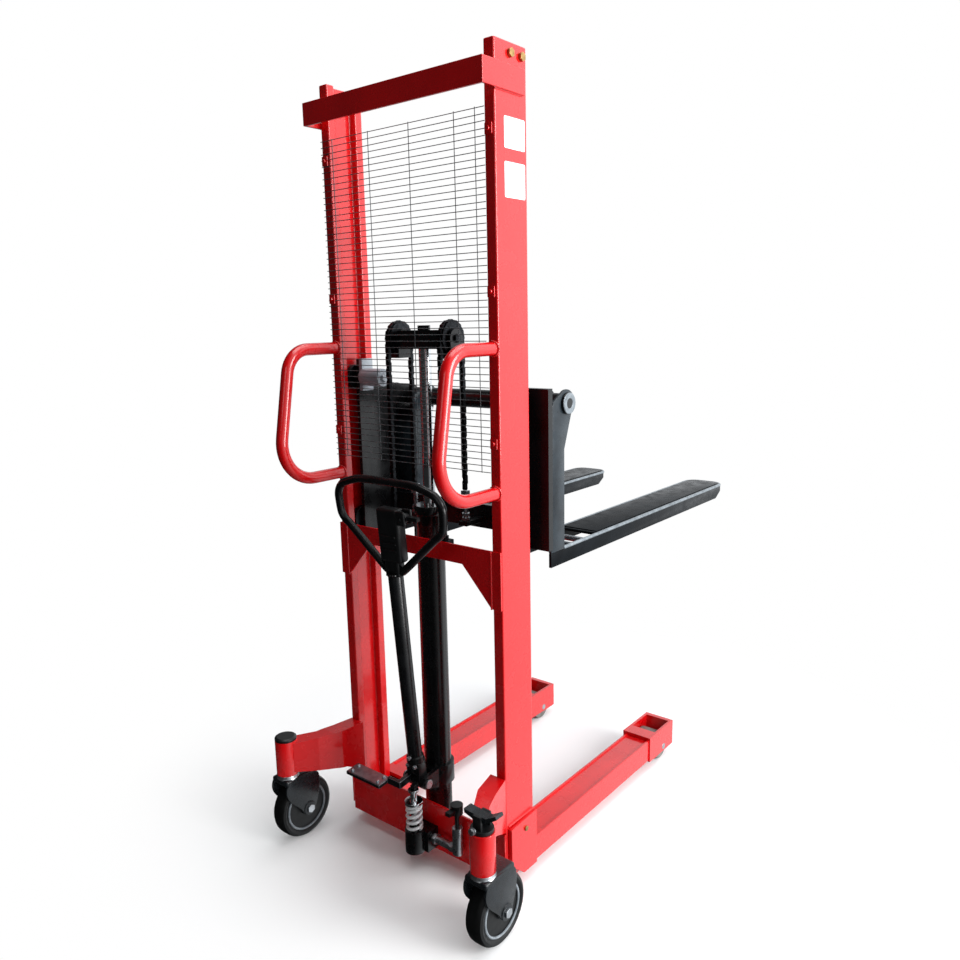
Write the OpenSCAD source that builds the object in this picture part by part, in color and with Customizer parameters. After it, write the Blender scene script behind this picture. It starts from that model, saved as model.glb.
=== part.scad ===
// Hand pallet stacker: a two-channel mast on straddle legs, lifted by a hand and foot pump.
// Lengths are millimetres. +Y points along the forks, +X to the right, +Z up, floor at z = 0.
// The forks are drawn at 890 mm, the height at which they stand in the photograph.

/* [Mast] */
// Height of the mast
mast_h = 2080; // [1900:10:2400]
// Width of the mast over its webs
mast_w = 572; // [540:1:640]
// Depth of a channel, front to back
channel_d = 120; // [112:1:130]
// Thickness of a channel's web
channel_web = 10; // [6:0.5:14]
// Width of a channel's flange, web included
flange_w = 30; // [24:1:40]
// Thickness of a channel's flange
flange_t = 26; // [20:1:30]
// Height of the channels' lower ends above the floor
mast_foot = 36; // [30:1:44]
// Distance of the top crossbar's upper edge below the top of the mast
crossbar_drop = 50; // [40:1:80]
// Height of the top crossbar's plate
crossbar_h = 56; // [40:1:80]
// Thickness of the top crossbar's plate
crossbar_t = 8; // [5:1:12]
// Reach of the top crossbar behind the channels
crossbar_back = 51; // [30:1:70]
// Forward end of the top crossbar's arms, from the back of the channels
crossbar_front = 105; // [80:1:115]
// Height of the middle beam's lower edge
midbeam_z = 878; // [850:1:885]
// Height of the middle beam
midbeam_h = 48; // [30:1:50]
// Thickness of the plates on the back of the mast
back_plate_t = 6; // [5:1:12]
// Width of a gusset under the middle beam
gusset_w = 92; // [60:1:110]
// Height of a gusset under the middle beam
gusset_h = 100; // [60:1:140]

// Distance of the top bolts below the top of the mast
top_bolt_drop = 24; // [20:1:30]
// Distance of the rear top bolt in front of the back of the channels
top_bolt_rear = 58; // [40:1:60]
// Distance of the front top bolt in front of the back of the channels
top_bolt_front = 100; // [90:1:106]
/* [Base and legs] */
// Height of the base plate's lower edge
base_z = 36; // [34:1:50]
// Height of the base plate
base_h = 136; // [110:1:140]
// Thickness of the floor plate that carries the cylinder
floor_t = 10; // [8:1:16]
// Thickness of a shoe plate outside the channel
shoe_t = 12; // [8:1:16]
// Height of the shoe plate's top edge
shoe_top = 190; // [160:1:240]
// Width of a leg
leg_w = 86; // [70:1:90]
// Gap between the outer side of the leg and the inner side of the fork's outer cheek
straddle_gap = 6; // [4:1:8]
// Height of a leg's lower side above the floor
leg_z = 36; // [30:1:40]
// Height of a leg's section
leg_h = 70; // [60:1:74]
// Wall of a leg
leg_wall = 6; // [4:1:10]
// Depth of the leg's top plate below its side edges
leg_recess = 5; // [3:1:10]
// Length of a leg in front of the mast, up to its tip box
leg_len = 650; // [500:10:800]
// Length of the tip box
tip_len = 165; // [140:1:180]
// Height of the tip box's top above the floor
tip_top = 114; // [106:1:116]
// Height of the tip box's lower edge above the floor
tip_low = 30; // [20:1:34]
// Amount by which the tip box is wider than the leg, on its outer side
tip_out = 4; // [2:1:5]
// Amount by which the tip box is wider than the leg, on its inner side
tip_in = 10; // [4:1:16]
// Radius of a leg roller
leg_roller_r = 45; // [40:1:48]
// Width of a leg roller
leg_roller_w = 76; // [60:1:80]
// Radius of a leg roller's axle
leg_axle_r = 10; // [8:1:12]
// Distance from the tip's front end to the roller's axle
leg_axle_back = 66; // [60:1:70]

/* [Casters] */
// Distance from the middle of the machine to a caster's swivel
caster_x = 360; // [340:1:380]
// Distance of the swivel behind the channels
caster_back = 187; // [170:1:210]
// Trail of the caster wheel ahead of its swivel
caster_trail = 43; // [30:1:50]
// Radius of a caster wheel
wheel_r = 90; // [80:1:95]
// Width of a caster wheel
wheel_w = 50; // [40:1:54]
// Radius of a caster wheel's axle
wheel_axle_r = 8; // [6:1:10]
// Radius of a caster wheel's hub
hub_r = 22; // [18:1:26]
// Number of hollows in each side of a caster wheel
wheel_hollows = 5; // [4:1:7]
// Radius of a hollow in a caster wheel
hollow_r = 15; // [10:1:16]
// Distance of a hollow from the wheel's axis
hollow_at = 47; // [44:1:50]
// Thickness of a caster fork's crown
crown_t = 12; // [8:1:16]
// Thickness of a caster fork's cheek
cheek_t = 7; // [5:1:8]
// Gap between a wheel and its cheeks
cheek_gap = 3; // [2:0.5:6]
// Height of the caster fork's crown above the tyre
crown_gap = 8; // [6:1:12]
// Radius of the cheeks' foot round the axle
cheek_foot_r = 20; // [16:1:24]
// Reach of the hood's shoulder in front of the axle
hood_shoulder = 42; // [38:1:48]
// Height of the hood's shoulder above the axle
hood_shoulder_h = 60; // [50:1:70]
// Reach of the crown in front of the axle
crown_front = 34; // [28:1:38]
// Reach of the crown behind the swivel
crown_rear = 26; // [24:1:32]
// Bulge of the hood behind the crown
hood_bulge = 8; // [4:1:12]
// Height of the hood's bulge below the crown
hood_bulge_drop = 26; // [20:1:32]
// Outer radius of the swivel sleeve
sleeve_r = 31; // [28:1:36]
// Height of the sleeve's lower end
sleeve_z = 212; // [208:1:220]
// Height of the sleeve
sleeve_h = 103; // [90:1:110]
// Thickness of the cap on a sleeve
cap_h = 10; // [8:1:12]
// Radius of the caster's stem in the sleeve
stem_r = 15; // [12:1:18]
// Height of the caster arm where it meets the mast
arm_h = 150; // [110:1:170]

/* [Lift cylinder and chains] */
// Radius of the lift cylinder
cyl_r = 37.5; // [32:0.5:45]
// Distance of the cylinder's axis in front of the back of the channels
cyl_y = 60; // [55:1:65]
// Height of the cylinder's top
cyl_top = 1000; // [940:1:1000]
// Radius of the piston rod
rod_r = 16; // [12:1:20]
// Length of the piston rod
rod_len = 849; // [840:1:880]
// Height of the cylinder's gland
gland_h = 24; // [16:1:30]
// Height of the cylinder's foot ring
foot_ring_h = 30; // [20:1:40]
// Height of the crosshead's underside
crosshead_z = 1409; // [1400:1:1430]
// Height of the crosshead
crosshead_h = 47; // [40:1:60]
// Distance from the middle to the centre of a sheave
sheave_x = 90; // [84:1:100]
// Radius of a sheave at the chain
sheave_r = 36; // [32:1:40]
// Radius of a sheave's rims
sheave_rim_r = 42; // [40:1:46]
// Width of a sheave
sheave_w = 20; // [18:1:24]
// Height of the sheaves' axis
sheave_z = 1435; // [1430:1:1445]
// Thickness of a crosshead cheek
sheave_cheek_t = 8; // [6:1:10]
// Running gap between a sheave and its cheeks
sheave_gap = 1; // [0.8:0.1:2]
// Half width of a rear chain's bracket
anchor_half = 16; // [14:1:20]
// Thickness of the bracket's back plate
anchor_t = 8; // [6:1:10]
// Height of the bracket
anchor_h = 40; // [30:1:50]
// Thickness of the bracket's shelf
anchor_shelf_t = 12; // [8:1:14]
// Reach of the shelf past the chain's rod
anchor_reach = 14; // [12:1:20]
// Radius of the chain's threaded rod
anchor_rod_r = 5; // [4:0.5:6]
// Half depth of the crosshead's beam
crosshead_half = 24; // [23:1:28]
// Half depth of the sheaves' cheeks below their round tops
cheek_half = 22; // [20:1:23]
// Depth of the straps below the crosshead's beam
strap_drop = 24; // [20:1:28]
// Thickness of the straps under the sheaves
strap_t = 10; // [8:1:12]
// Radius of the crosshead's bolt
crosshead_bolt_r = 10; // [8:1:12]
// Radius of a sheave's pin
sheave_pin_r = 8; // [6:1:10]
// Width of a chain
chain_w = 12; // [8:1:14]
// Thickness of a chain
chain_t = 11; // [8:1:12]
// Height at which the rear strands are anchored
rear_anchor_z = 950; // [930:1:960]
// Height at which the front strands are anchored
front_anchor_z = 1040; // [1020:1:1060]

/* [Carriage and forks] */
// Height of the carriage's lower end
carriage_z = 894; // [890:1:900]
// Height of the carriage's plates
carriage_h = 414; // [400:1:430]
// Thickness of a carriage side plate
side_plate_t = 10; // [8:1:12]
// Gap between a carriage side plate and the channel's flanges
side_gap = 6; // [4:1:10]
// Distance from the back of the channels to the back of the carriage's side plates
side_back = 49; // [46:1:52]
// Gap between the front of the mast and the carriage's posts
post_gap = 44; // [30:1:60]
// Thickness of a carriage post
post_t = 18; // [12:1:24]
// Outer edge of a carriage post, from the middle
post_out = 312; // [300:1:320]
// Inner edge of a carriage post, from the middle
post_in = 235; // [225:1:238]
// Height of the lower bar's underside
lower_bar_z = 927; // [920:1:935]
// Height of the lower bar
lower_bar_h = 65; // [50:1:80]
// Radius of the bar on which the forks hang
bar_r = 25; // [20:1:30]
// Thickness of the fork bar's end caps
cap_t = 8; // [6:1:14]
// Height of the fork bar's axis
bar_z = 1265; // [1255:1:1275]
// Distance from the back of the channels to the fork bar's axis
bar_y = 256; // [250:1:262]
// Radius of a carriage roller's pin
roller_pin_r = 12; // [10:1:15]
// Length of a guide block's boss
guide_boss_len = 74; // [50:1:80]
// Radius of a guide block's boss
guide_boss_r = 24; // [18:1:26]
// Thickness of a guide block
guide_t = 12; // [8:1:14]
// Reach of a guide block behind the rollers' middle
guide_rear = 8; // [6:1:12]
// Reach of a guide block in front of the rollers' middle
guide_front = 33; // [28:1:36]
// Depth of a guide block below the rollers' middle
guide_drop = 38; // [30:1:42]
// Height of a guide block above the rollers' middle
guide_rise = 50; // [40:1:56]
// Width of a carriage roller
roller_w = 16; // [12:1:17]
// Gap between a carriage roller and the channel's flanges, at each side
roller_gap = 0.5; // [0.3:0.1:1]
// Height of the upper rollers' axis
upper_roller_z = 1331; // [1325:1:1340]
// Height of the lower rollers' axis
lower_roller_z = 930; // [928:1:940]
// Height of the blades' top above the floor, as drawn
blade_z = 890; // [880:1:900]
// Depth of a blade's cheeks
blade_h = 45; // [40:1:50]
// Outer side of a fork, from the middle
fork_out = 306; // [300:1:312]
// Width of a fork
fork_w = 136; // [132:1:150]
// Thickness of a fork's cheeks
fork_cheek_t = 8; // [6:1:10]
// Thickness of a fork's top plate
fork_top_t = 8; // [6:1:10]
// Depth of a fork's shank, front to back
shank_d = 62; // [55:1:75]
// Distance from the back of the channels to the tip of the forks
fork_reach = 1286; // [1150:1:1400]
// Length of the open heel between the shank and the top plate
heel_len = 64; // [40:1:80]
// Radius of the blade's corners at its tip
fork_nose_r = 44; // [20:1:60]
// Length of the sloping tip
fork_tip_len = 52; // [40:1:90]

/* [Tiller and pump] */
// Radius of the tiller's tube
tiller_r = 20; // [16:1:22]
// Distance of the tiller's pivot behind the channels
tiller_back = 25; // [20:1:30]
// Height of the tiller's pivot
tiller_z = 240; // [236:1:250]
// Backward lean of the tiller, degrees
tiller_lean = 5; // [0:1:8]
// Radius of the tiller's pivot pin
tiller_pin_r = 8; // [6:1:10]
// Half width of the tiller's yoke
yoke_half = 23; // [20:1:23]
// Radius of the yoke's barrel
yoke_r = 17; // [14:1:18]
// Height of the yoke above the pivot
yoke_h = 62; // [50:1:70]
// Thickness of an ear of the tiller's bracket
ear_t = 12; // [8:1:14]
// Reach of the foot pedal to the left of the tiller
pedal_reach = 186; // [170:1:230]
// Width of the foot pedal's pad
pad_w = 130; // [100:1:140]
// Depth of the foot pedal's pad
pad_d = 46; // [40:1:60]
// Thickness of the foot pedal's pad
pad_t = 10; // [8:1:12]
// Width and height of the foot pedal's arm
pedal_arm_h = 20; // [16:1:22]
// Thickness of the foot pedal's arm
pedal_arm_t = 10; // [8:1:12]
// Radius of the loop's tube
loop_r = 12; // [11:1:15]
// Height of the loop's lowest point above the pivot
loop_low = 612; // [580:1:640]
// Height of the loop's widest point above the pivot
loop_mid = 768; // [750:1:790]
// Height of the loop's top above its widest point
loop_top = 82; // [72:1:102]
// Half width of the loop, to the middle of the tube
loop_half = 184; // [170:1:200]
// Radius of the pump's spring, to its outside
spring_r = 24; // [20:1:26]
// Radius of the spring's wire
spring_wire_r = 3; // [2:0.5:3.5]
// Number of turns of the spring
spring_turns = 5; // [4:1:7]
// Height of the spring's lower end
spring_low = 112; // [110:1:116]
// Height of the spring's upper end
spring_high = 190; // [184:1:206]
// Distance of the pump plunger behind the channels
plunger_back = 57; // [54:1:62]
// Distance of the pump plunger from the middle
plunger_x = 13; // [0:1:14]
// Half width of the pump's housing
pump_half = 32; // [28:1:34]
// Height of the plate's sill under the pump's housing
sill_h = 12; // [8:1:16]
// Height of the pump housing's top
pump_top = 108; // [104:1:110]
// Radius of the pump plunger
plunger_r = 9; // [7:1:11]
// Radius of a push handle's tube
handle_r = 16; // [12:1:18]
// Radius of a push handle's upper bend
handle_bend = 70; // [50:1:90]
// Radius of a push handle's lower bend
handle_low_bend = 100; // [70:1:110]
// Depth of a push handle behind the channels, to the middle of the tube
handle_d = 200; // [160:1:220]
// Height of a push handle's lower end
handle_low = 1070; // [1060:1:1100]
// Height of a push handle's upper end
handle_high = 1412; // [1380:1:1430]

// Distance of the lowering valve to the right of the pump's housing
valve_reach = 89; // [70:1:100]
// Radius of the lowering valve's knob
knob_r = 17; // [14:1:20]
// Height of the knob's underside above the pump's housing
knob_rise = 84; // [72:1:90]
/* [Mesh guard] */
// Pitch of the mesh guard's level wires
mesh_pitch = 15.5; // [15.5:0.5:20]
// Thickness of a mesh wire
mesh_wire = 3; // [2:0.5:4]
// Height of the lowest wire
mesh_low = 1118; // [1100:1:1130]
// Distance of the mesh's upper edge below the top crossbar
mesh_drop = 34; // [30:1:60]
// Left end of the level wires, from the middle
mesh_left = 296; // [280:1:300]
// Right end of the level wires, from the middle
mesh_right = 270; // [262:1:280]

/* [Fits] */
// Radial clearance of a shaft in the piece that turns on it
run_fit = 0.05; // [0.02:0.01:0.1]
// Clearance between pieces that slide or stand beside each other
slide_fit = 0.4; // [0.3:0.1:0.8]

/* [Hidden] */
$fn = 48;

// Place of the mast's back, so that the machine's middle stands over the origin
mast_y = (caster_back - caster_trail + wheel_r - fork_reach) / 2;
half_w = mast_w / 2;
web_in = half_w - channel_web;
flange_in = half_w - flange_w;
crossbar_z = mast_h - crossbar_drop - crossbar_h;
mesh_high = crossbar_z - mesh_drop;
handle_x = half_w - flange_w / 2;
// Forks and legs: a lowered fork stands astride its leg
fork_in = fork_out - fork_w;
leg_out = fork_out - fork_cheek_t - straddle_gap;
leg_in = leg_out - leg_w;
tip_outer = leg_out + tip_out;
tip_inner = leg_in - tip_in;
tip_y = channel_d + leg_len;
tip_end = tip_y + tip_len;
leg_axle_y = tip_end - leg_axle_back;
tip_wall = (tip_outer - tip_inner - leg_roller_w) / 2 - 3;
// Channel's roller track
roller_r = (channel_d - 2 * flange_t) / 2 - roller_gap;
track_y = channel_d / 2;
// Carriage
rod_low = crosshead_z - rod_len;
side_x = flange_in - side_gap - side_plate_t;
post_back = channel_d + post_gap;
post_front = post_back + post_t;
shank_back = post_front + slide_fit;
shank_front = shank_back + shank_d;
chain_front_y = cyl_y + sheave_r + chain_t / 2;
chain_rear_y = cyl_y - sheave_r - chain_t / 2;
pump_side = pump_half + 20;
bearing_x = (side_x + side_plate_t + web_in) / 2;

// Moves a piece from the mast's own place to the machine's frame
module at_mast() {
  translate([0, mast_y, 0]) children();
}

// Draws a right-hand piece on the left
module on_left() {
  mirror([1, 0, 0]) children();
}

// Cuboid from its low corner to its high corner
module block(low, high) {
  translate(low) cube(high - low);
}

// Cylinder along X from one x to another
module bar_x(x1, x2, y, z, r) {
  translate([x1, y, z]) rotate([0, 90, 0]) cylinder(r = r, h = x2 - x1);
}

// Cylinder along Y from one y to another
module bar_y(y1, y2, x, z, r) {
  translate([x, y1, z]) rotate([-90, 0, 0]) cylinder(r = r, h = y2 - y1);
}

// Plate in a plane across the machine, from an outline of (y, z) points
module plate_x(x1, x2, outline) {
  translate([x1, 0, 0]) rotate([90, 0, 90]) linear_extrude(x2 - x1) polygon(outline);
}

// Hexagon head along X, across-flats size af, outward from x
module hex_x(x, y, z, af, t) {
  translate([x, y, z]) rotate([0, 90, 0]) cylinder(r = af / sqrt(3), h = t, $fn = 6);
}

// Sweeps a round section along a flat path; across is the normal of the path's plane
function unit(v) = v / norm(v);
function tangent(path, i, closed) =
  let (n = len(path))
  closed ? unit(path[(i + 1) % n] - path[(i + n - 1) % n])
  : unit(path[min(i + 1, n - 1)] - path[max(i - 1, 0)]);
module sweep(path, r, across, sides = 10, closed = false) {
  n = len(path);
  points = [
    for (i = [0 : n - 1])
      let (t = tangent(path, i, closed), side = unit(cross(t, across)))
      for (k = [0 : sides - 1])
        let (a = 360 * k / sides)
        path[i] + r * (cos(a) * across + sin(a) * side)
  ];
  skin = [
    for (i = [0 : closed ? n - 1 : n - 2])
      for (k = [0 : sides - 1])
        let (
          a = i * sides + k,
          b = i * sides + (k + 1) % sides,
          c = ((i + 1) % n) * sides + (k + 1) % sides,
          d = ((i + 1) % n) * sides + k
        )
        for (face = [[a, c, b], [a, d, c]]) face
  ];
  caps = closed ? [] : [
    for (k = [1 : sides - 2])
      for (face = [[0, k, k + 1], [(n - 1) * sides, (n - 1) * sides + k + 1, (n - 1) * sides + k]])
        face
  ];
  polyhedron(points, concat(skin, caps));
}

// Points of an arc in the (y, z) plane
function arc(cy, cz, r, from, to, steps) =
  [for (i = [0 : steps]) let (a = from + (to - from) * i / steps) [cy + r * cos(a), cz + r * sin(a)]];

// Mast

module upright() {
  at_mast() {
    block([web_in, 0, mast_foot], [half_w, channel_d, mast_h]);
    block([flange_in, 0, mast_foot], [half_w, flange_t, mast_h]);
    block([flange_in, channel_d - flange_t, mast_foot], [half_w, channel_d, mast_h]);
  }
}
module left_upright() { color("red") on_left() upright(); }
module right_upright() { color("red") upright(); }

// A bent plate behind the channels with an arm on the outside of each web
module top_crossbar() {
  high = crossbar_z + crossbar_h;
  out = half_w + crossbar_t;
  color("red") at_mast() {
    block([-out, -crossbar_back, crossbar_z], [out, crossbar_t - crossbar_back, high]);
    for (s = [0, 1]) mirror([s, 0, 0])
      block([half_w, -crossbar_back, crossbar_z], [out, crossbar_front, high]);
  }
}

// A plate across the back of the mast with a gusset under each end
module mid_crossbeam() {
  high = midbeam_z + midbeam_h;
  inner = flange_in - gusset_w;
  half = [
    [0, midbeam_z], [inner, midbeam_z], [flange_in, midbeam_z - gusset_h],
    [half_w, midbeam_z - gusset_h], [half_w, high], [0, high]
  ];
  color("red") at_mast() for (s = [0, 1]) mirror([s, 0, 0])
    rotate([90, 0, 0]) linear_extrude(back_plate_t) polygon(half);
}

// The base's back plate and the floor plate that carries the cylinder
module base_plate() {
  color("red") at_mast() {
    difference() {
      block([-half_w, -back_plate_t, base_z], [half_w, 0, base_z + base_h]);
      block([-pump_half, -back_plate_t - 1, base_z + sill_h], [pump_side, 1, pump_top]);
    }
    block([-flange_in, 0, base_z], [flange_in, channel_d, base_z + floor_t]);
    block([-web_in, flange_t, base_z], [web_in, channel_d - flange_t, base_z + floor_t]);
  }
}

// Side plate on the outside of the web, over the leg's root
module shoe() {
  low = base_z - 3;
  outline = [
    [8, low + 45], [62, low], [channel_d, low], [channel_d, shoe_top], [8, shoe_top - 6]
  ];
  color("red") at_mast() plate_x(half_w, half_w + shoe_t, outline);
}
module left_shoe() { on_left() shoe(); }
module right_shoe() { shoe(); }

// A straddle leg: a box beam with a recessed top and an open box for its roller
module leg() {
  high = leg_z + leg_h;
  axle = leg_roller_r;
  color("red") at_mast() difference() {
    union() {
      block([leg_in, channel_d, leg_z], [leg_out, tip_y, high]);
      block([tip_inner, tip_y, tip_low], [tip_outer, tip_end, tip_top]);
    }
    block(
      [leg_in + leg_wall, channel_d + 40, high - leg_recess],
      [leg_out - leg_wall, tip_y, high + 1]
    );
    block(
      [leg_in + leg_wall, channel_d - 1, leg_z + leg_wall],
      [leg_out - leg_wall, tip_y - leg_wall, high - leg_recess - leg_wall]
    );
    block(
      [tip_inner + tip_wall, leg_axle_y - leg_roller_r - 5, tip_low - 1],
      [tip_outer - tip_wall, leg_axle_y + leg_roller_r + 5, tip_top + 1]
    );
    bar_x(tip_inner - 1, tip_outer + 1, leg_axle_y, axle, leg_axle_r);
  }
}
module left_leg() { on_left() leg(); }
module right_leg() { leg(); }

module leg_roller_axles() {
  color("silver") at_mast() for (s = [0, 1]) mirror([s, 0, 0])
    bar_x(tip_inner, tip_outer + 0.5, leg_axle_y, leg_roller_r, leg_axle_r);
}

module leg_roller() {
  mid = (tip_inner + tip_outer) / 2;
  color("dimgray") at_mast() difference() {
    bar_x(mid - leg_roller_w / 2, mid + leg_roller_w / 2, leg_axle_y, leg_roller_r, leg_roller_r);
    bar_x(mid - leg_roller_w, mid + leg_roller_w, leg_axle_y, leg_roller_r, leg_axle_r + run_fit);
  }
}
module left_leg_roller() { on_left() leg_roller(); }
module right_leg_roller() { leg_roller(); }

// Casters

// A box arm from the back of the mast to the caster's sleeve
module caster_arm() {
  top_mid = sleeve_z + sleeve_h;
  plan = [
    [flange_in - 18, 0], [half_w, 0], [half_w + 16, -60], [caster_x - 40, -110],
    [caster_x + 4, -caster_back + sleeve_r - 6], [caster_x - 4, -caster_back],
    [caster_x - 32, -caster_back], [caster_x - 74, -130], [flange_in - 4, -70]
  ];
  side = [
    [1, top_mid + 12], [-90, top_mid + 6], [-caster_back - 1, top_mid - 6],
    [-caster_back - 1, sleeve_z + 10], [-60, sleeve_z - 4], [1, top_mid + 12 - arm_h]
  ];
  color("red") at_mast() difference() {
    union() {
      intersection() {
        translate([0, 0, sleeve_z - 60]) linear_extrude(sleeve_h + 120) polygon(plan);
        plate_x(0, 2 * caster_x, side);
      }
      translate([caster_x, -caster_back, sleeve_z]) cylinder(r = sleeve_r, h = sleeve_h);
    }
    translate([caster_x, -caster_back, sleeve_z - 1])
      cylinder(r = stem_r + run_fit, h = sleeve_h + 2);
    block(
      [flange_in - 30, -back_plate_t, sleeve_z - 70],
      [half_w + 1, 1, base_z + base_h]
    );
  }
}
module left_caster_arm() { on_left() caster_arm(); }
module right_caster_arm() { caster_arm(); }

// The caster's swivelling fork: a stem, a crown and two cheeks under a rounded hood
module caster_fork() {
  wheel_y = caster_trail - caster_back;
  inside = wheel_w / 2 + cheek_gap;
  outside = inside + cheek_t;
  crown_z = wheel_r * 2 + crown_gap;
  cheek = [
    for (p = arc(wheel_y, wheel_r, cheek_foot_r, -150, -10, 8)) p,
    [wheel_y + hood_shoulder, wheel_r + hood_shoulder_h], [wheel_y + crown_front, crown_z],
    [-caster_back - crown_rear, crown_z],
    [-caster_back - crown_rear - hood_bulge, crown_z - hood_bulge_drop]
  ];
  color("darkslategray") at_mast() difference() {
    union() {
      translate([caster_x, -caster_back, crown_z]) cylinder(r = stem_r, h = sleeve_z + sleeve_h - crown_z);
      translate([caster_x, -caster_back, crown_z])
        cylinder(r = sleeve_r, h = sleeve_z - slide_fit - crown_z);
      block(
        [caster_x - outside, -caster_back - crown_rear, crown_z],
        [caster_x + outside, wheel_y + crown_front, crown_z + crown_t]
      );
      for (s = [-1, 1])
        plate_x(caster_x + s * (inside + cheek_t / 2) - cheek_t / 2,
          caster_x + s * (inside + cheek_t / 2) + cheek_t / 2, cheek);
    }
    bar_x(caster_x - outside - 1, caster_x + outside + 1, wheel_y, wheel_r, wheel_axle_r);
  }
}
module left_caster_fork() { on_left() caster_fork(); }
module right_caster_fork() { caster_fork(); }

// The axle bolt, with a head on one side and a nut on the other
module caster_axle() {
  wheel_y = caster_trail - caster_back;
  outside = wheel_w / 2 + cheek_gap + cheek_t;
  color("silver") at_mast() {
    bar_x(caster_x - outside, caster_x + outside, wheel_y, wheel_r, wheel_axle_r);
    hex_x(caster_x + outside, wheel_y, wheel_r, 22, 8);
    hex_x(caster_x - outside - 8, wheel_y, wheel_r, 22, 8);
  }
}
module left_caster_axle() { on_left() caster_axle(); }
module right_caster_axle() { caster_axle(); }

// A tyre with rounded shoulders on a hub with hollows in each side
module caster_wheel() {
  wheel_y = caster_trail - caster_back;
  half = wheel_w / 2;
  bore = wheel_axle_r + run_fit;
  profile = [
    [bore, -half], [hub_r, -half], [hub_r + 2, 8 - half], [wheel_r - 20, 8 - half], [wheel_r - 16, 1 - half],
    [wheel_r - 8, 2 - half], [wheel_r - 2, 8 - half], [wheel_r, 16 - half],
    [wheel_r, half - 16], [wheel_r - 2, half - 8], [wheel_r - 8, half - 2], [wheel_r - 16, half - 1],
    [wheel_r - 20, half - 8], [hub_r + 2, half - 8], [hub_r, half], [bore, half]
  ];
  color("#16171a") at_mast() translate([caster_x, wheel_y, wheel_r]) rotate([0, 90, 0]) difference() {
    rotate_extrude() polygon(profile);
    for (k = [1 : wheel_hollows], s = [-1, 1]) rotate([0, 0, 360 * k / wheel_hollows])
      translate([hollow_at, 0, s * half]) cylinder(r = hollow_r, h = wheel_w - 20, center = true);
  }
}
module left_caster_wheel() { on_left() caster_wheel(); }
module right_caster_wheel() { caster_wheel(); }

// Plain cap that closes the left sleeve
module left_sleeve_cap() {
  top_z = sleeve_z + sleeve_h;
  color("#202226") at_mast() translate([-caster_x, -caster_back, top_z]) {
    cylinder(r = sleeve_r, h = cap_h - 3);
    translate([0, 0, cap_h - 3]) cylinder(r1 = sleeve_r, r2 = sleeve_r - 6, h = 3);
  }
}

// Cap on the right sleeve, with the ears in which the brake pedal rocks
module brake_mount() {
  top_z = sleeve_z + sleeve_h;
  color("#202226") at_mast() translate([caster_x, -caster_back, top_z]) difference() {
    union() {
      cylinder(r = sleeve_r - 3, h = cap_h);
      for (e = [-1, 1]) translate([-12, e * 17 - 3, cap_h]) cube([24, 6, 34]);
      bar_y(-20, 20, 0, 34, 4);
    }
    cylinder(r = stem_r + slide_fit, h = 2);
  }
}

// A rocking brake pedal, pressed down on one side to lock and on the other to free the caster
module brake_pedal() {
  top_z = sleeve_z + sleeve_h;
  bar = [
    [-42, 36], [-20, 30], [-10, 27], [10, 27], [24, 32],
    [53, 52], [50, 60], [22, 43], [-22, 44], [-44, 46]
  ];
  color("#202226") at_mast() translate([caster_x, -caster_back, top_z]) difference() {
    translate([0, 13.4, 0]) rotate([90, 0, 0]) linear_extrude(26.8) polygon(bar);
    bar_y(-20, 20, 0, 34, 4 + run_fit);
  }
}
module right_brake_pedal() { brake_pedal(); }

// Push handles

// A bent tube on the back of the channel; its ends are square to the flange
module handle() {
  mid = handle_low_bend - handle_d;
  slope = 170;
  root = [1, -20];
  path = concat(
    [[root[0], handle_high], [root[1], handle_high]],
    arc(mid, handle_high - handle_bend, handle_bend, 90, slope, 6),
    arc(mid, handle_low + handle_low_bend, handle_low_bend, slope, 270, 7),
    [[root[1], handle_low], [root[0], handle_low]]
  );
  color("red") at_mast() intersection() {
    sweep([for (p = path) [handle_x, p[0], p[1]]], handle_r, [1, 0, 0], 12);
    block([0, -2 * handle_d, 0], [mast_w, 0, mast_h]);
  }
}
module left_handle() { on_left() handle(); }
module right_handle() { handle(); }

// Mesh guard behind the mast: level wires on five upright wires
module mesh_guard() {
  rows = floor((mesh_high - mesh_low) / mesh_pitch);
  uprights = [-240, -109, 28, 171, 233];
  clear = handle_r + mesh_wire;
  color("silver") at_mast() rotate([90, 0, 0]) linear_extrude(mesh_wire) {
    for (i = [0 : rows]) {
      z = mesh_low + i * mesh_pitch;
      met = z > handle_high - clear - slide_fit && z < handle_high + clear;
      left = met ? handle_x - clear : mesh_left;
      right = met ? handle_x - clear : mesh_right;
      translate([-left, z]) square([left + right, mesh_wire]);
    }
    for (x = uprights) translate([x - mesh_wire / 2, mesh_low])
      square([mesh_wire, rows * mesh_pitch + mesh_wire]);
  }
}

// Clips that hold the mesh on the channels
module mesh_clips() {
  rows = [mesh_low + 60, (mesh_low + mesh_high) / 2, mesh_high - 60];
  color("silver") at_mast() for (s = [-1, 1], z = rows) {
    block([s * handle_x - 10, -mesh_wire - 3, z], [s * handle_x + 10, -mesh_wire, z + 24]);
    bar_y(-mesh_wire - 8, -mesh_wire - 3, s * handle_x, z + 12, 5);
  }
}

// Bolts at the mast's top and in the shoes
module frame_bolts() {
  color("dimgray") at_mast() for (s = [0, 1]) mirror([s, 0, 0]) {
    for (y = [top_bolt_rear, top_bolt_front]) hex_x(half_w, y, mast_h - top_bolt_drop, 18, 7);
    hex_x(half_w + shoe_t, 70, shoe_top - 30, 13, 4);
  }
}

// Lift cylinder, pump and chains

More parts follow.
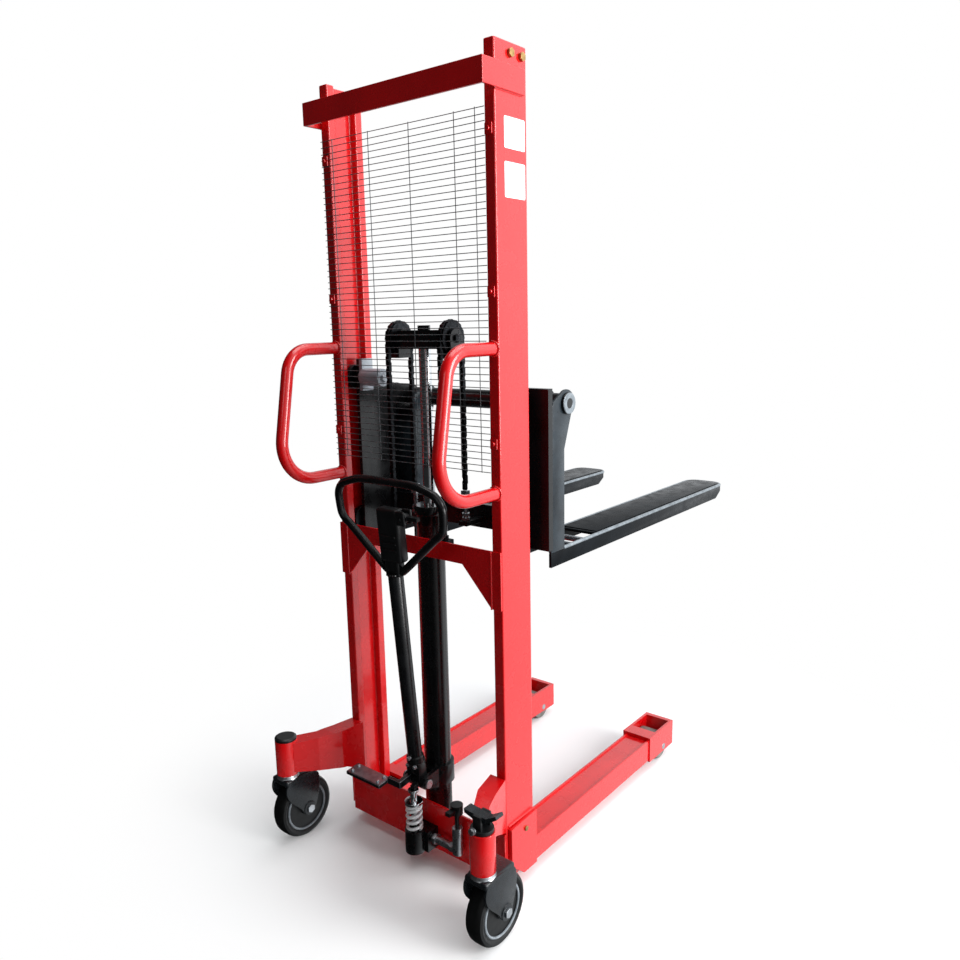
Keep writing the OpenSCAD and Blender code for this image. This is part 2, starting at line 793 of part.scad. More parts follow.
module lift_cylinder() {
  color("#111214") at_mast() difference() {
    union() {
      translate([0, cyl_y, base_z + floor_t]) cylinder(r = cyl_r, h = cyl_top - gland_h - base_z - floor_t);
      translate([0, cyl_y, cyl_top - gland_h]) cylinder(r = cyl_r + 4, h = gland_h);
      translate([0, cyl_y, base_z + floor_t]) cylinder(r = cyl_r + 6, h = foot_ring_h);
    }
    translate([0, cyl_y, base_z + floor_t + 60]) cylinder(r = rod_r + run_fit, h = cyl_top);
  }
}

// The pump's housing, which passes under the back plate to the cylinder's foot
module pump_block() {
  color("#111214") at_mast() difference() {
    union() {
      block([-pump_half, -plunger_back + 10, base_z + sill_h], [pump_side, cyl_y - cyl_r - 6, pump_top]);
      translate([plunger_x, -plunger_back, base_z + sill_h])
        cylinder(r = spring_r + 3, h = spring_low - base_z - sill_h);
    }
    translate([plunger_x, -plunger_back, base_z + sill_h + 6])
      cylinder(r = plunger_r + run_fit, h = spring_low);
  }
}

// Clamp round the cylinder with two ears for the tiller's pin
module tiller_bracket() {
  ear_x = yoke_half + 1;
  ear = [
    [cyl_y - cyl_r, tiller_z - 34], [-tiller_back - 10, tiller_z - 14], [-tiller_back - 16, tiller_z - 4],
    [-tiller_back - 16, tiller_z + 6], [-tiller_back - 8, tiller_z + 16], [cyl_y - cyl_r, tiller_z + 22]
  ];
  color("#111214") at_mast() difference() {
    union() {
      translate([0, cyl_y, tiller_z - 34]) cylinder(r = cyl_r + 8, h = 56);
      for (s = [-1, 1])
        plate_x(s * (ear_x + ear_t / 2) - ear_t / 2, s * (ear_x + ear_t / 2) + ear_t / 2, ear);
      block([-ear_x - 1, 4, tiller_z - 34], [ear_x + 1, cyl_y - 20, tiller_z + 22]);
    }
    bar_x(-60, 60, -tiller_back, tiller_z, tiller_pin_r);
    translate([0, cyl_y, tiller_z - 60]) cylinder(r = cyl_r, h = 120);
  }
}

module tiller_pin() {
  color("silver") at_mast() {
    bar_x(-40, 40, -tiller_back, tiller_z, tiller_pin_r);
    bar_x(40, 45, -tiller_back, tiller_z, tiller_pin_r + 4);
    bar_x(-45, -40, -tiller_back, tiller_z, tiller_pin_r + 4);
  }
}

// The lowering valve beside the pump, with its pipe and nuts
valve_x = pump_side + valve_reach;
valve_y = -26;
valve_pipe_r = 11;
valve_body_r = 14;
knob_stem_r = 6;
knob_h = 26;
module release_valve() {
  pipe_z = pump_top - 24;
  color("silver") at_mast() {
    bar_x(pump_side, valve_x - valve_body_r + 2, valve_y, pipe_z, valve_pipe_r);
    hex_x(pump_side + 6, valve_y, pipe_z, 27, 10);
    hex_x(valve_x - 24, valve_y, pipe_z, 24, 12);
    difference() {
      translate([valve_x, valve_y, pump_top - 36]) cylinder(r = valve_body_r, h = 78);
      translate([valve_x, valve_y, pump_top + 10]) cylinder(r = knob_stem_r + run_fit, h = 40);
    }
  }
}

module valve_knob() {
  low = pump_top + knob_rise;
  color("#16171a") at_mast() {
    translate([valve_x, valve_y, pump_top + 12]) cylinder(r = knob_stem_r, h = knob_rise);
    translate([valve_x, valve_y, low]) cylinder(r = knob_r, h = knob_h);
    block([valve_x - 8, valve_y - 38, low + 8], [valve_x + 8, valve_y, low + 18]);
  }
}

module pump_plunger() {
  head = tiller_z - lug_reach * sin(tiller_lean) - lug_low * cos(tiller_lean) - slide_fit;
  color("silver") at_mast() {
    translate([plunger_x, -plunger_back, spring_low - 20])
      cylinder(r = plunger_r, h = head - spring_low + 20);
    translate([plunger_x, -plunger_back, spring_high]) cylinder(r = spring_r + 1, h = 7);
    translate([plunger_x, -plunger_back, head - 6]) cylinder(r = 15, h = 6);
  }
}

// Lug of the tiller's yoke over the plunger: its reach behind the pin and its depth below it
lug_reach = 36;
lug_low = 6;
lug_half = 8;

// Return spring: one helical wire whose ends run flat and straight
spring_mid = spring_r - spring_wire_r;
spring_rise = spring_high - spring_low - 2 * spring_wire_r;
spring_steps = 8 * spring_turns;
spring_path = concat(
  [[spring_mid, -2 * spring_wire_r, 0]],
  [for (i = [0 : spring_steps]) let (a = 360 * i / 8) [
    spring_mid * cos(a), spring_mid * sin(a), spring_rise * i / spring_steps
  ]],
  [[spring_mid, 2 * spring_wire_r, spring_rise]]
);
spring_gap = spring_rise / spring_turns - 2 * spring_wire_r;
echo(least_gap_between_spring_turns = spring_gap);
module pump_spring() {
  n = len(spring_path);
  sides = 6;
  points = [
    for (i = [0 : n - 1])
      let (
        t = tangent(spring_path, i, false),
        up = unit([0, 0, 1] - t * t[2]),
        side = cross(t, up)
      )
      for (k = [0 : sides - 1])
        let (a = 360 * k / sides)
        spring_path[i] + spring_wire_r * (cos(a) * up + sin(a) * side)
  ];
  skin = [
    for (i = [0 : n - 2], k = [0 : sides - 1])
      let (a = i * sides + k, b = i * sides + (k + 1) % sides)
      for (face = [[a, a + sides, b + sides], [a, b + sides, b]]) face
  ];
  caps = [
    for (k = [1 : sides - 2])
      for (face = [[0, k, k + 1], [(n - 1) * sides, (n - 1) * sides + k + 1, (n - 1) * sides + k]]) face
  ];
  color("silver") at_mast() translate([plunger_x, -plunger_back, spring_low + spring_wire_r])
    polyhedron(points, concat(skin, caps));
}

module piston_rod() {
  color("silver") at_mast()
    translate([0, cyl_y, rod_low]) cylinder(r = rod_r, h = rod_len);
}

// Crosshead: a beam on the rod with two cheeks for each sheave
module crosshead() {
  inner = sheave_x - sheave_w / 2 - sheave_gap;
  outer = sheave_x + sheave_w / 2 + sheave_gap;
  beam = inner - sheave_cheek_t + sheave_gap;
  strap_z = crosshead_z - strap_drop;
  color("#111214") at_mast() difference() {
    union() {
      block([-beam, cyl_y - crosshead_half, crosshead_z],
        [beam, cyl_y + crosshead_half, crosshead_z + crosshead_h]);
      for (s = [-1, 1], e = [-1, 1]) {
        x = s * sheave_x + e * (sheave_w / 2 + sheave_gap + sheave_cheek_t / 2);
        plate_x(x - sheave_cheek_t / 2, x + sheave_cheek_t / 2, concat(
          [[cyl_y - cheek_half, crosshead_z], [cyl_y + cheek_half, crosshead_z]],
          arc(cyl_y, sheave_z, crosshead_half, 0, 180, 10)
        ));
      }
      for (s = [0, 1]) mirror([s, 0, 0])
        block([beam, cyl_y - cheek_half, strap_z],
          [outer + sheave_cheek_t, cyl_y + cheek_half, strap_z + strap_t]);
      for (s = [0, 1]) mirror([s, 0, 0])
        for (x = [inner - sheave_cheek_t, outer])
          block([x, cyl_y - cheek_half, strap_z], [x + sheave_cheek_t, cyl_y + cheek_half, crosshead_z + 1]);
    }
    for (s = [-1, 1]) {
      bar_x(s * sheave_x - 20, s * sheave_x + 20, cyl_y, sheave_z, sheave_pin_r);
      bar_x(
        s * sheave_x - sheave_w / 2 - 0.7, s * sheave_x + sheave_w / 2 + 0.7,
        cyl_y, sheave_z, sheave_rim_r + 1.2
      );
    }
    translate([0, cyl_y, crosshead_z - 1]) cylinder(r = crosshead_bolt_r, h = crosshead_h + 2);
  }
}

module crosshead_bolt() {
  color("silver") at_mast() {
    translate([0, cyl_y, crosshead_z]) cylinder(r = crosshead_bolt_r, h = crosshead_h);
    translate([0, cyl_y, crosshead_z + crosshead_h]) cylinder(r = 30 / sqrt(3), h = 12, $fn = 6);
  }
}

module sheave_pins() {
  reach = sheave_w / 2 + 1 + sheave_cheek_t;
  color("silver") at_mast() for (s = [-1, 1]) {
    bar_x(s * sheave_x - reach, s * sheave_x + reach, cyl_y, sheave_z, sheave_pin_r);
    hex_x(s > 0 ? sheave_x + reach : -sheave_x - reach - 6, cyl_y, sheave_z, 19, 6);
  }
}

// Grooved chain wheel
module sheave() {
  half = sheave_w / 2;
  groove = chain_w / 2 + 0.5;
  bore = sheave_pin_r + run_fit;
  profile = [
    [bore, -half], [sheave_rim_r, -half], [sheave_rim_r, -groove - 1], [sheave_r, -groove],
    [sheave_r, groove], [sheave_rim_r, groove + 1], [sheave_rim_r, half], [bore, half]
  ];
  color("#1c1d20") at_mast() translate([sheave_x, cyl_y, sheave_z]) rotate([0, 90, 0])
    rotate_extrude() polygon(profile);
}
module left_sheave() { on_left() sheave(); }
module right_sheave() { sheave(); }

module chain_strand(s, y, low, high) {
  block(
    [s * sheave_x - chain_w / 2, y - chain_t / 2, low],
    [s * sheave_x + chain_w / 2, y + chain_t / 2, high]
  );
}

module rear_chains() {
  y = chain_rear_y - slide_fit;
  color("#2a2b2e") at_mast() for (s = [-1, 1]) chain_strand(s, y, rear_anchor_z, sheave_z);
}

module front_chains() {
  y = chain_front_y + slide_fit;
  color("#2a2b2e") at_mast() for (s = [-1, 1]) chain_strand(s, y, front_anchor_z, sheave_z);
}

// The half turn of each chain over its sheave
module chain_wraps() {
  inner = sheave_r + slide_fit;
  color("#2a2b2e") at_mast() for (s = [-1, 1]) difference() {
    bar_x(s * sheave_x - chain_w / 2, s * sheave_x + chain_w / 2, cyl_y, sheave_z, inner + chain_t);
    bar_x(s * sheave_x - chain_w, s * sheave_x + chain_w, cyl_y, sheave_z, inner);
    block([s * sheave_x - chain_w, cyl_y - 2 * inner, sheave_z - 2 * inner],
      [s * sheave_x + chain_w, cyl_y + 2 * inner, sheave_z + 0.01]);
  }
}

// Brackets on the middle beam that hold the rear strands
module rear_chain_anchors() {
  shelf = midbeam_z + midbeam_h;
  color("#2a2b2e") at_mast() for (s = [-1, 1]) {
    block([s * sheave_x - anchor_half, 0, shelf - anchor_h], [s * sheave_x + anchor_half, anchor_t, shelf]);
    block([s * sheave_x - anchor_half, 0, shelf - anchor_shelf_t],
      [s * sheave_x + anchor_half, chain_rear_y + anchor_reach, shelf]);
    translate([s * sheave_x, chain_rear_y - slide_fit, shelf])
      cylinder(r = anchor_rod_r, h = rear_anchor_z - shelf);
    translate([s * sheave_x, chain_rear_y - slide_fit, shelf]) cylinder(r = 17 / sqrt(3), h = 10, $fn = 6);
  }
}

// Carriage

// Side plates in the mast, posts and a lower bar in front of it, ears for the fork bar
module carriage_frame() {
  top_z = carriage_z + carriage_h;
  ear = concat(
    [[post_back, bar_z - 40], [bar_y, bar_z - bar_r - 9]],
    arc(bar_y, bar_z, bar_r + 9, -60, 90, 8),
    [[post_back, top_z]]
  );
  color("#111214") at_mast() difference() {
    union() {
      for (s = [0, 1]) mirror([s, 0, 0]) {
        block([side_x, side_back, carriage_z], [side_x + side_plate_t, post_back, top_z]);
        block([post_in, post_back, carriage_z], [post_out, post_front, top_z]);
        plate_x(side_x, side_x + side_plate_t, ear);
        block([side_x, cyl_y - 8, top_z - 1], [side_x + side_plate_t, cyl_y + 33, upper_roller_z + 50]);
        for (z = [upper_roller_z, lower_roller_z])
          bar_x(side_x, bearing_x + roller_w / 2, track_y, z, roller_pin_r);
        block(
          [sheave_x - 14, chain_front_y - 14, lower_bar_z + 20],
          [sheave_x + 14, post_back + 1, lower_bar_z + 32]
        );
      }
      block([-post_in - 1, post_back, lower_bar_z], [post_in + 1, post_front, lower_bar_z + lower_bar_h]);
    }
    bar_x(-mast_w, mast_w, bar_y, bar_z, bar_r);
  }
}

// The round bar on which the forks hang, with an end cap outside each fork
module fork_bar() {
  end = fork_out + slide_fit;
  color("#111214") at_mast() {
    bar_x(-end, end, bar_y, bar_z, bar_r);
    for (s = [0, 1]) mirror([s, 0, 0]) difference() {
      bar_x(end, end + cap_t, bar_y, bar_z, bar_r + 3);
      bar_x(end + cap_t / 2, end + cap_t + 1, bar_y, bar_z, bar_r / 2);
    }
  }
}

// Guide blocks beside the upper rollers, the left one with a boss towards the middle
module guide_blocks() {
  back = side_x - guide_t;
  inner = back - guide_boss_len;
  color("lightgray") at_mast() {
    for (s = [0, 1]) mirror([s, 0, 0])
      block([back, cyl_y - guide_rear, upper_roller_z - guide_drop],
        [side_x, cyl_y + guide_front, upper_roller_z + guide_rise]);
    mirror([1, 0, 0]) {
      bar_x(inner, back, cyl_y, upper_roller_z, guide_boss_r);
      hex_x(inner - 9, cyl_y, upper_roller_z, 22, 9);
    }
  }
}

module chain_anchors() {
  y = chain_front_y + slide_fit;
  shelf = lower_bar_z + 32;
  color("silver") at_mast() for (s = [-1, 1]) {
    translate([s * sheave_x, y, shelf]) cylinder(r = 6, h = front_anchor_z - shelf);
    for (z = [shelf, shelf + 12]) translate([s * sheave_x, y, z]) cylinder(r = 19 / sqrt(3), h = 9, $fn = 6);
    block([s * sheave_x - 9, y - 8, front_anchor_z - 26], [s * sheave_x + 9, y + 8, front_anchor_z]);
  }
}

module carriage_roller(z) {
  color("#3a3c40") at_mast() difference() {
    bar_x(bearing_x - roller_w / 2, bearing_x + roller_w / 2, track_y, z, roller_r);
    bar_x(bearing_x - roller_w, bearing_x + roller_w, track_y, z, roller_pin_r + run_fit);
  }
}
module upper_left_roller() { on_left() carriage_roller(upper_roller_z); }
module upper_right_roller() { carriage_roller(upper_roller_z); }
module lower_left_roller() { on_left() carriage_roller(lower_roller_z); }
module lower_right_roller() { carriage_roller(lower_roller_z); }

// Fork: two cheeks with an eye on the bar, a web in the shank and a top plate on the blade
module fork() {
  low = blade_z - blade_h;
  eye_r = bar_r + 10.5;
  tip_z = blade_z - fork_top_t - 4;
  cheek = concat(
    [[shank_back, low], [fork_reach - fork_tip_len, low], [fork_reach, tip_z], [fork_reach, blade_z],
     [shank_front, blade_z], [shank_front, bar_z - 117], [bar_y + eye_r * 0.6, bar_z - eye_r * 0.8]],
    arc(bar_y, bar_z, eye_r, -50, 130, 10),
    [[shank_back + 12, bar_z + 6], [shank_back, bar_z - 20]]
  );
  nose_y = fork_reach - fork_nose_r;
  plan = concat(
    [[fork_in, 0], [fork_out, 0]],
    arc(fork_out - fork_nose_r, nose_y, fork_nose_r, 0, 90, 6),
    arc(fork_in + fork_nose_r, nose_y, fork_nose_r, 90, 180, 6)
  );
  color("#0c0c0e") at_mast() difference() {
    intersection() {
      union() {
        plate_x(fork_in, fork_in + fork_cheek_t, cheek);
        plate_x(fork_out - fork_cheek_t, fork_out, cheek);
        block(
          [fork_in, shank_front + heel_len, blade_z - fork_top_t],
          [fork_out, fork_reach, blade_z]
        );
        block(
          [fork_in, shank_front - 12, blade_z - 4],
          [fork_out, shank_front - 2, bar_z - 120]
        );
      }
      linear_extrude(mast_h) polygon(plan);
    }
    bar_x(fork_in - 1, fork_out + 1, bar_y, bar_z, bar_r + slide_fit);
  }
}
module left_fork() { on_left() fork(); }
module right_fork() { fork(); }

// Tiller

// Moves a piece from the tiller's own frame to its lean on the pump
module at_tiller() {
  at_mast() translate([0, -tiller_back, tiller_z]) rotate([tiller_lean, 0, 0]) children();
}

// Outline of the loop handle: straight sides that run together below, a wide top
loop_path = concat(
  [for (i = [0 : 5]) let (a = 60 - 12 * i) [loop_half - 55 + 55 * cos(a), loop_mid + 50 * sin(a) + 22]],
  [for (i = [0 : 4]) let (a = -20 - 12 * i) [loop_half - 50 + 50 * cos(a), loop_mid + 50 * sin(a)]],
  [for (i = [0 : 3]) let (a = -60 - 10 * i) [66 * cos(a), loop_low + 57 + 60 * sin(a)]]
);
function flip(points) = [for (i = [len(points) - 1 : -1 : 0]) [-points[i][0], points[i][1]]];
loop_outline = concat(
  [for (i = [0 : 4]) [-loop_half * 0.55 + loop_half * 1.1 * i / 4, loop_mid + loop_top]],
  loop_path,
  [for (i = [1 : len(loop_path) - 1]) flip(loop_path)[i]]
);

yoke_deep = 14;
lever_x = 54;
lever_z = loop_mid - 6;
lever_pin_r = 4;
housing_deep = 17;
housing_side = 66;

// The tube, its yoke at the pivot and the loop
module tiller() {
  color("#0c0c0e") at_tiller() {
    difference() {
      union() {
        translate([0, 0, 30]) cylinder(r = tiller_r, h = loop_low - 30);
        bar_x(-yoke_half, yoke_half, 0, 0, yoke_r);
        block([-yoke_half, -yoke_deep, 0], [yoke_half, yoke_deep, yoke_h]);
        block([plunger_x - lug_half, -lug_reach, -lug_low], [plunger_x + lug_half, 0, 4]);
      }
      bar_x(-60, 60, 0, 0, tiller_pin_r + run_fit);
    }
    sweep([for (p = loop_outline) [p[0], 0, p[1]]], loop_r, [0, 1, 0], 10, true);
  }
}

// Housing in the middle of the loop that holds the release lever
module grip_housing() {
  top = lever_z + 20;
  slot_x = lever_x - 14;
  color("#16171a") at_tiller() {
    difference() {
      block([-34, -housing_deep, loop_low + loop_r - 4], [housing_side, housing_deep, top]);
      block([slot_x, -housing_deep - 1, loop_low], [housing_side + 1, housing_deep + 1, lever_z - 18]);
      block([slot_x, -8 - slide_fit, loop_low], [housing_side + 1, 8 + slide_fit, top + 1]);
      sweep([for (p = loop_outline) [p[0], 0, p[1]]], loop_r, [0, 1, 0], 10, true);
    }
    bar_y(-housing_deep, housing_deep, lever_x, lever_z, lever_pin_r);
  }
}

module release_lever() {
  color("#16171a") at_tiller() difference() {
    union() {
      bar_y(-8, 8, lever_x, lever_z, 12);
      block([lever_x - 4, -6, lever_z - 4], [lever_x + 46, 6, lever_z + 6]);
    }
    bar_y(-20, 20, lever_x, lever_z, lever_pin_r + run_fit);
  }
}

// An arm on the back of the yoke and a pad beside it, moulded round the barrel
module foot_pedal() {
  pad_x = pad_w - pedal_reach;
  pad_mid = -70;
  arm_y = pad_mid + 10;
  root_x = 1 - yoke_half;
  color("#16171a") at_tiller() difference() {
    union() {
      block([pad_x, arm_y, 0], [root_x, arm_y + pedal_arm_t, pedal_arm_h]);
      block([root_x, arm_y, 0], [root_x + 13, -yoke_deep, pedal_arm_h]);
      block([-pedal_reach, pad_mid - pad_d / 2, 2], [pad_x, pad_mid + pad_d / 2, 2 + pad_t]);
    }
    bar_x(-yoke_half - 1, yoke_half + 1, 0, 0, yoke_r);
  }
}

left_upright();
right_upright();
top_crossbar();
mid_crossbeam();
base_plate();
left_shoe();
right_shoe();
left_leg();
right_leg();
left_caster_arm();
right_caster_arm();
left_handle();
right_handle();
mesh_guard();
mesh_clips();
lift_cylinder();
pump_block();
release_valve();
rear_chain_anchors();
frame_bolts();
leg_roller_axles();
left_sleeve_cap();
brake_mount();
rear_chains();
piston_rod();
crosshead();
crosshead_bolt();
sheave_pins();
chain_wraps();
left_sheave();
right_sheave();
carriage_frame();
fork_bar();
guide_blocks();
chain_anchors();
front_chains();
upper_left_roller();
upper_right_roller();
lower_left_roller();
lower_right_roller();
left_fork();
right_fork();
tiller();
tiller_pin();
tiller_bracket();
grip_housing();
foot_pedal();
release_lever();
pump_plunger();
pump_spring();
valve_knob();
left_caster_fork();
right_caster_fork();
left_caster_axle();
right_caster_axle();
left_caster_wheel();
right_caster_wheel();
right_brake_pedal();
left_leg_roller();
right_leg_roller();
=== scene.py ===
# %% [markdown]
# # A hand pallet stacker
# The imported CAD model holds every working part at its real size. This script loads it as a fixed
# frame and gives it the looks: paint, plating, rubber, softened edges, and the pieces that need
# finer forms than the solids have. All lengths are metres, with +Y along the forks, +X to the right
# and +Z up.

# %% Load the frame
import math
import random

import bmesh
import bpy
from mathutils import Matrix, Vector


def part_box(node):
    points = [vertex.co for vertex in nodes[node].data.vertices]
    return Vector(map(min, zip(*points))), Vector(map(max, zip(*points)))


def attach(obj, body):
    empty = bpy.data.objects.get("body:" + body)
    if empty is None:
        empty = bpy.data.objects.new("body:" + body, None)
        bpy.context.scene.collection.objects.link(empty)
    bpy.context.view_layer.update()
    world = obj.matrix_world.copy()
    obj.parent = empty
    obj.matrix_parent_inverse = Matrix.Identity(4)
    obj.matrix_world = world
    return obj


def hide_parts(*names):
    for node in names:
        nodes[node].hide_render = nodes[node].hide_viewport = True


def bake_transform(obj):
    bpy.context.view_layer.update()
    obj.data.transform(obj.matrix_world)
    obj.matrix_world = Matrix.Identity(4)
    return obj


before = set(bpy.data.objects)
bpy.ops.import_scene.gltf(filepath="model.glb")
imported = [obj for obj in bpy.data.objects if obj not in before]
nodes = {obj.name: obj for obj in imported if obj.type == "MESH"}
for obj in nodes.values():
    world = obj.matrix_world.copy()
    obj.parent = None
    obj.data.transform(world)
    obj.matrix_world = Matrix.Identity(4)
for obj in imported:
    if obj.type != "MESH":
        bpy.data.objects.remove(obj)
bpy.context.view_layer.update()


def mm(value):
    """Millimetres to metres."""
    return value / 1000


# %% [markdown]
# ## The photographer's place
# The picture was taken from behind and to the right, at about chest height, with a fairly wide lens
# that looks a little down. The place is measured from the back of the mast, whose distance from the
# origin comes from the frame: the back of a mast channel is the lowest Y of its box.

# %% Camera
mast_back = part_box("right_upright")[0].y
camera_from_mast = Vector((mm(1469), mm(-1533), mm(1475)))
camera_yaw = math.radians(39.1)
camera_pitch = math.radians(-10.8)
camera_roll = math.radians(-1.2)
camera_lens = 31.19
sensor_width = 36

forward = Vector((
    -math.sin(camera_yaw) * math.cos(camera_pitch),
    math.cos(camera_yaw) * math.cos(camera_pitch),
    math.sin(camera_pitch),
))
level_right = Vector((math.cos(camera_yaw), math.sin(camera_yaw), 0))
level_up = level_right.cross(forward)
right = level_right * math.cos(camera_roll) + level_up * math.sin(camera_roll)
up = level_up * math.cos(camera_roll) - level_right * math.sin(camera_roll)

lens = bpy.data.cameras.new("photo_camera")
lens.lens = camera_lens
lens.sensor_width = sensor_width
camera = bpy.data.objects.new("photo_camera", lens)
turn = Matrix((right, up, -forward)).transposed().to_4x4()
camera.matrix_world = Matrix.Translation(camera_from_mast + Vector((0, mast_back, 0))) @ turn
bpy.context.scene.collection.objects.link(camera)
bpy.context.scene.camera = camera
bpy.context.scene.view_settings.view_transform = "Standard"
print("camera at", [round(v, 3) for v in camera.matrix_world.translation])

# %% [markdown]
# ## Node trees in plain code
# A Blender material is a graph. One function adds a node, sets its settings and joins its inputs,
# so that every material below reads from top to bottom. Colours are written as the sRGB hex values
# that a paint card gives, and one function turns them into the linear values that the renderer
# works in.

# %% Colours and nodes


def linear(hex_colour):
    """An sRGB hex colour as a linear RGBA tuple."""
    values = [int(hex_colour[i:i + 2], 16) / 255 for i in (1, 3, 5)]
    return tuple(v / 12.92 if v <= 0.04045 else ((v + 0.055) / 1.055) ** 2.4 for v in values) + (1,)


def add_node(tree, kind, settings=None, links=None):
    """Adds a node, sets its inputs or properties, and links sources to its inputs."""
    made = tree.nodes.new(kind)
    for name, value in (settings or {}).items():
        if name in made.inputs:
            made.inputs[name].default_value = value
        else:
            setattr(made, name, value)
    for name, source in (links or {}).items():
        tree.links.new(source, made.inputs[name])
    return made


def new_material(name, settings):
    """A material with one Principled shader. Returns the material, its tree and the shader."""
    material = bpy.data.materials.new(name)
    material.use_nodes = True
    tree = material.node_tree
    tree.nodes.clear()
    shader = add_node(tree, "ShaderNodeBsdfPrincipled", settings)
    add_node(tree, "ShaderNodeOutputMaterial", {}, {"Surface": shader.outputs["BSDF"]})
    return material, tree, shader


print("hex grey #808080 is", round(linear("#808080")[0], 3), "in linear light")

# %% Patches and relief


def mottled(tree, shader, place, size_mm, low, high, socket):
    """Varies one shader socket between two values or colours with patches of a real size.
    Noise stays near its middle, so the middle part is stretched over the whole change."""
    noise = add_node(
        tree, "ShaderNodeTexNoise", {"Scale": 1000 / size_mm, "Detail": 3, "Roughness": 0.55},
        {"Vector": place.outputs["Object"]},
    )
    is_colour = isinstance(low, tuple)
    stretch = {"From Min": 0.3, "From Max": 0.7, "To Min": low, "To Max": high}
    if is_colour:
        stretch = {"From Min": 0.35, "From Max": 0.65}
    spread = add_node(tree, "ShaderNodeMapRange", stretch, {"Value": noise.outputs["Fac"]})
    change = spread.outputs["Result"]
    if is_colour:
        mixed = add_node(tree, "ShaderNodeMix", {"data_type": "RGBA"}, {0: change})
        mixed.inputs[6].default_value, mixed.inputs[7].default_value = low, high
        change = mixed.outputs[2]
    tree.links.new(change, shader.inputs[socket])


def make_surface(name, settings, patches, sheen, grain, depth_mm, strength):
    """A material with patches of two colours, patches of sheen and a relief of a real depth.
    Patches, sheen and grain each begin with their size in millimetres."""
    material, tree, shader = new_material(name, settings)
    place = add_node(tree, "ShaderNodeTexCoord")
    patch_mm, low, high = patches
    mottled(tree, shader, place, patch_mm, linear(low), linear(high), "Base Color")
    sheen_mm, less, more = sheen
    roughness = settings["Roughness"]
    mottled(tree, shader, place, sheen_mm, roughness - less, roughness + more, "Roughness")
    grain_mm, kind, detail = grain
    pattern = add_node(
        tree, kind, {"Scale": 1000 / grain_mm, **detail}, {"Vector": place.outputs["Object"]}
    )
    bump = add_node(
        tree, "ShaderNodeBump", {"Strength": strength, "Distance": mm(depth_mm)},
        {"Height": pattern.outputs[0]},
    )
    tree.links.new(bump.outputs["Normal"], shader.inputs["Normal"])
    return material


# %% [markdown]
# ## Red powder coat
# The mast, legs and handles are steel with a red polyester powder coat: dry powder is sprayed on
# and melts into one thick glossy skin. The skin pulls itself into low waves a few millimetres
# across, called orange peel, so reflections wobble a little, and it thins at edges. A clear coat
# layer over a saturated base gives that wet gloss. The waves are drawn at 7 mm, a little coarser
# than real ones, so that they show at this distance.

# %% Red powder coat
orange_peel_mm, coat_waves_mm = 7, 0.06
film_patches_mm, gloss_patches_mm = 160, 45
red_powder_coat = make_surface(
    "red_powder_coat",
    {"Roughness": 0.24, "IOR": 1.5, "Coat Weight": 0.6, "Coat Roughness": 0.08},
    (film_patches_mm, "#c00409", "#d4060c"), (gloss_patches_mm, 0.05, 0.08),
    (orange_peel_mm, "ShaderNodeTexNoise", {"Detail": 1.5}), coat_waves_mm, 0.6,
)
print("powder coat waves", orange_peel_mm, "mm apart")

# %% [markdown]
# ## Black enamel
# Forks, carriage, crosshead and tiller are sprayed with a black enamel straight over hot-rolled
# steel. It is deep black and glossy, but the rolled scale under it leaves a faint grain, and hands
# and chains scuff it. A low specular level keeps the black deep in front of a white backdrop, as in
# the picture. The fork shanks get a paler slate copy of the enamel, which is painted sheen: it
# stands in for the glossy black catching the light. The guide castings have the same enamel in
# grey.

# %% Black enamel
scuffs_mm, rubbed_mm, scale_depth_mm = 70, 30, 0.12


def make_enamel(name, base, worn, roughness, specular, grain_mm, coat):
    return make_surface(
        name, {"Roughness": roughness, "IOR": 1.5, "Specular IOR Level": specular,
               "Coat Weight": coat, "Coat Roughness": 0.12},
        (scuffs_mm, base, worn), (rubbed_mm, 0.07, 0.12),
        (grain_mm, "ShaderNodeTexNoise", {"Detail": 4, "Roughness": 0.6}), scale_depth_mm, 0.5,
    )


black_enamel = make_enamel("black_enamel", "#070708", "#101113", 0.26, 0.3, 9, 0.15)
fork_enamel = make_enamel("fork_enamel", "#07090c", "#0e1216", 0.28, 0.08, 24, 0.0)
# Painted sheen: a paler slate copy of the black enamel for the fork shanks, in place of the gloss
# catching the light.
sheen_painted_shank_enamel = make_enamel("shank_enamel_painted_sheen", "#1b2126", "#2c343a", 0.26, 0.25, 30, 0.0)
cylinder_enamel = make_enamel("cylinder_enamel", "#060607", "#0e0f10", 0.22, 0.35, 18, 0.3)
grey_enamel = make_enamel("grey_enamel_casting", "#8d939b", "#a6acb3", 0.34, 0.5, 8, 0.2)
print("enamel over scale", scale_depth_mm, "mm deep")

# %% [markdown]
# ## Bright metals
# Fasteners are zinc plated, and those of the frame are passivated yellow; the rod and the plunger
# are hard chromed, and the spring's wire has a pale coat of zinc flakes. All are metals, so their
# colour is their reflection; the spring's wire is drawn near white and only partly metallic, a pale
# zinc-flake coat with painted reflection that keeps the coils bright where little light falls. Zinc
# is pale and satin with a faint crystal mottling; chrome is nearly a mirror with drawing marks;
# chain is dark steel under oil. Forks wear through to bare steel along their edges. The hot-dip
# galvanised mesh has dulled to a grey skin of zinc carbonate, which scatters light as well, so it
# is only half metallic.

# %% Zinc, chrome and oiled steel


def make_metal(name, base, shade, roughness, patch_mm, grain_mm, depth_mm, metallic=1.0):
    return make_surface(
        name, {"Metallic": metallic, "Roughness": roughness}, (patch_mm, shade, base),
        (patch_mm * 0.6, 0.05, 0.1), (grain_mm, "ShaderNodeTexNoise", {"Detail": 3}), depth_mm, 0.5,
    )


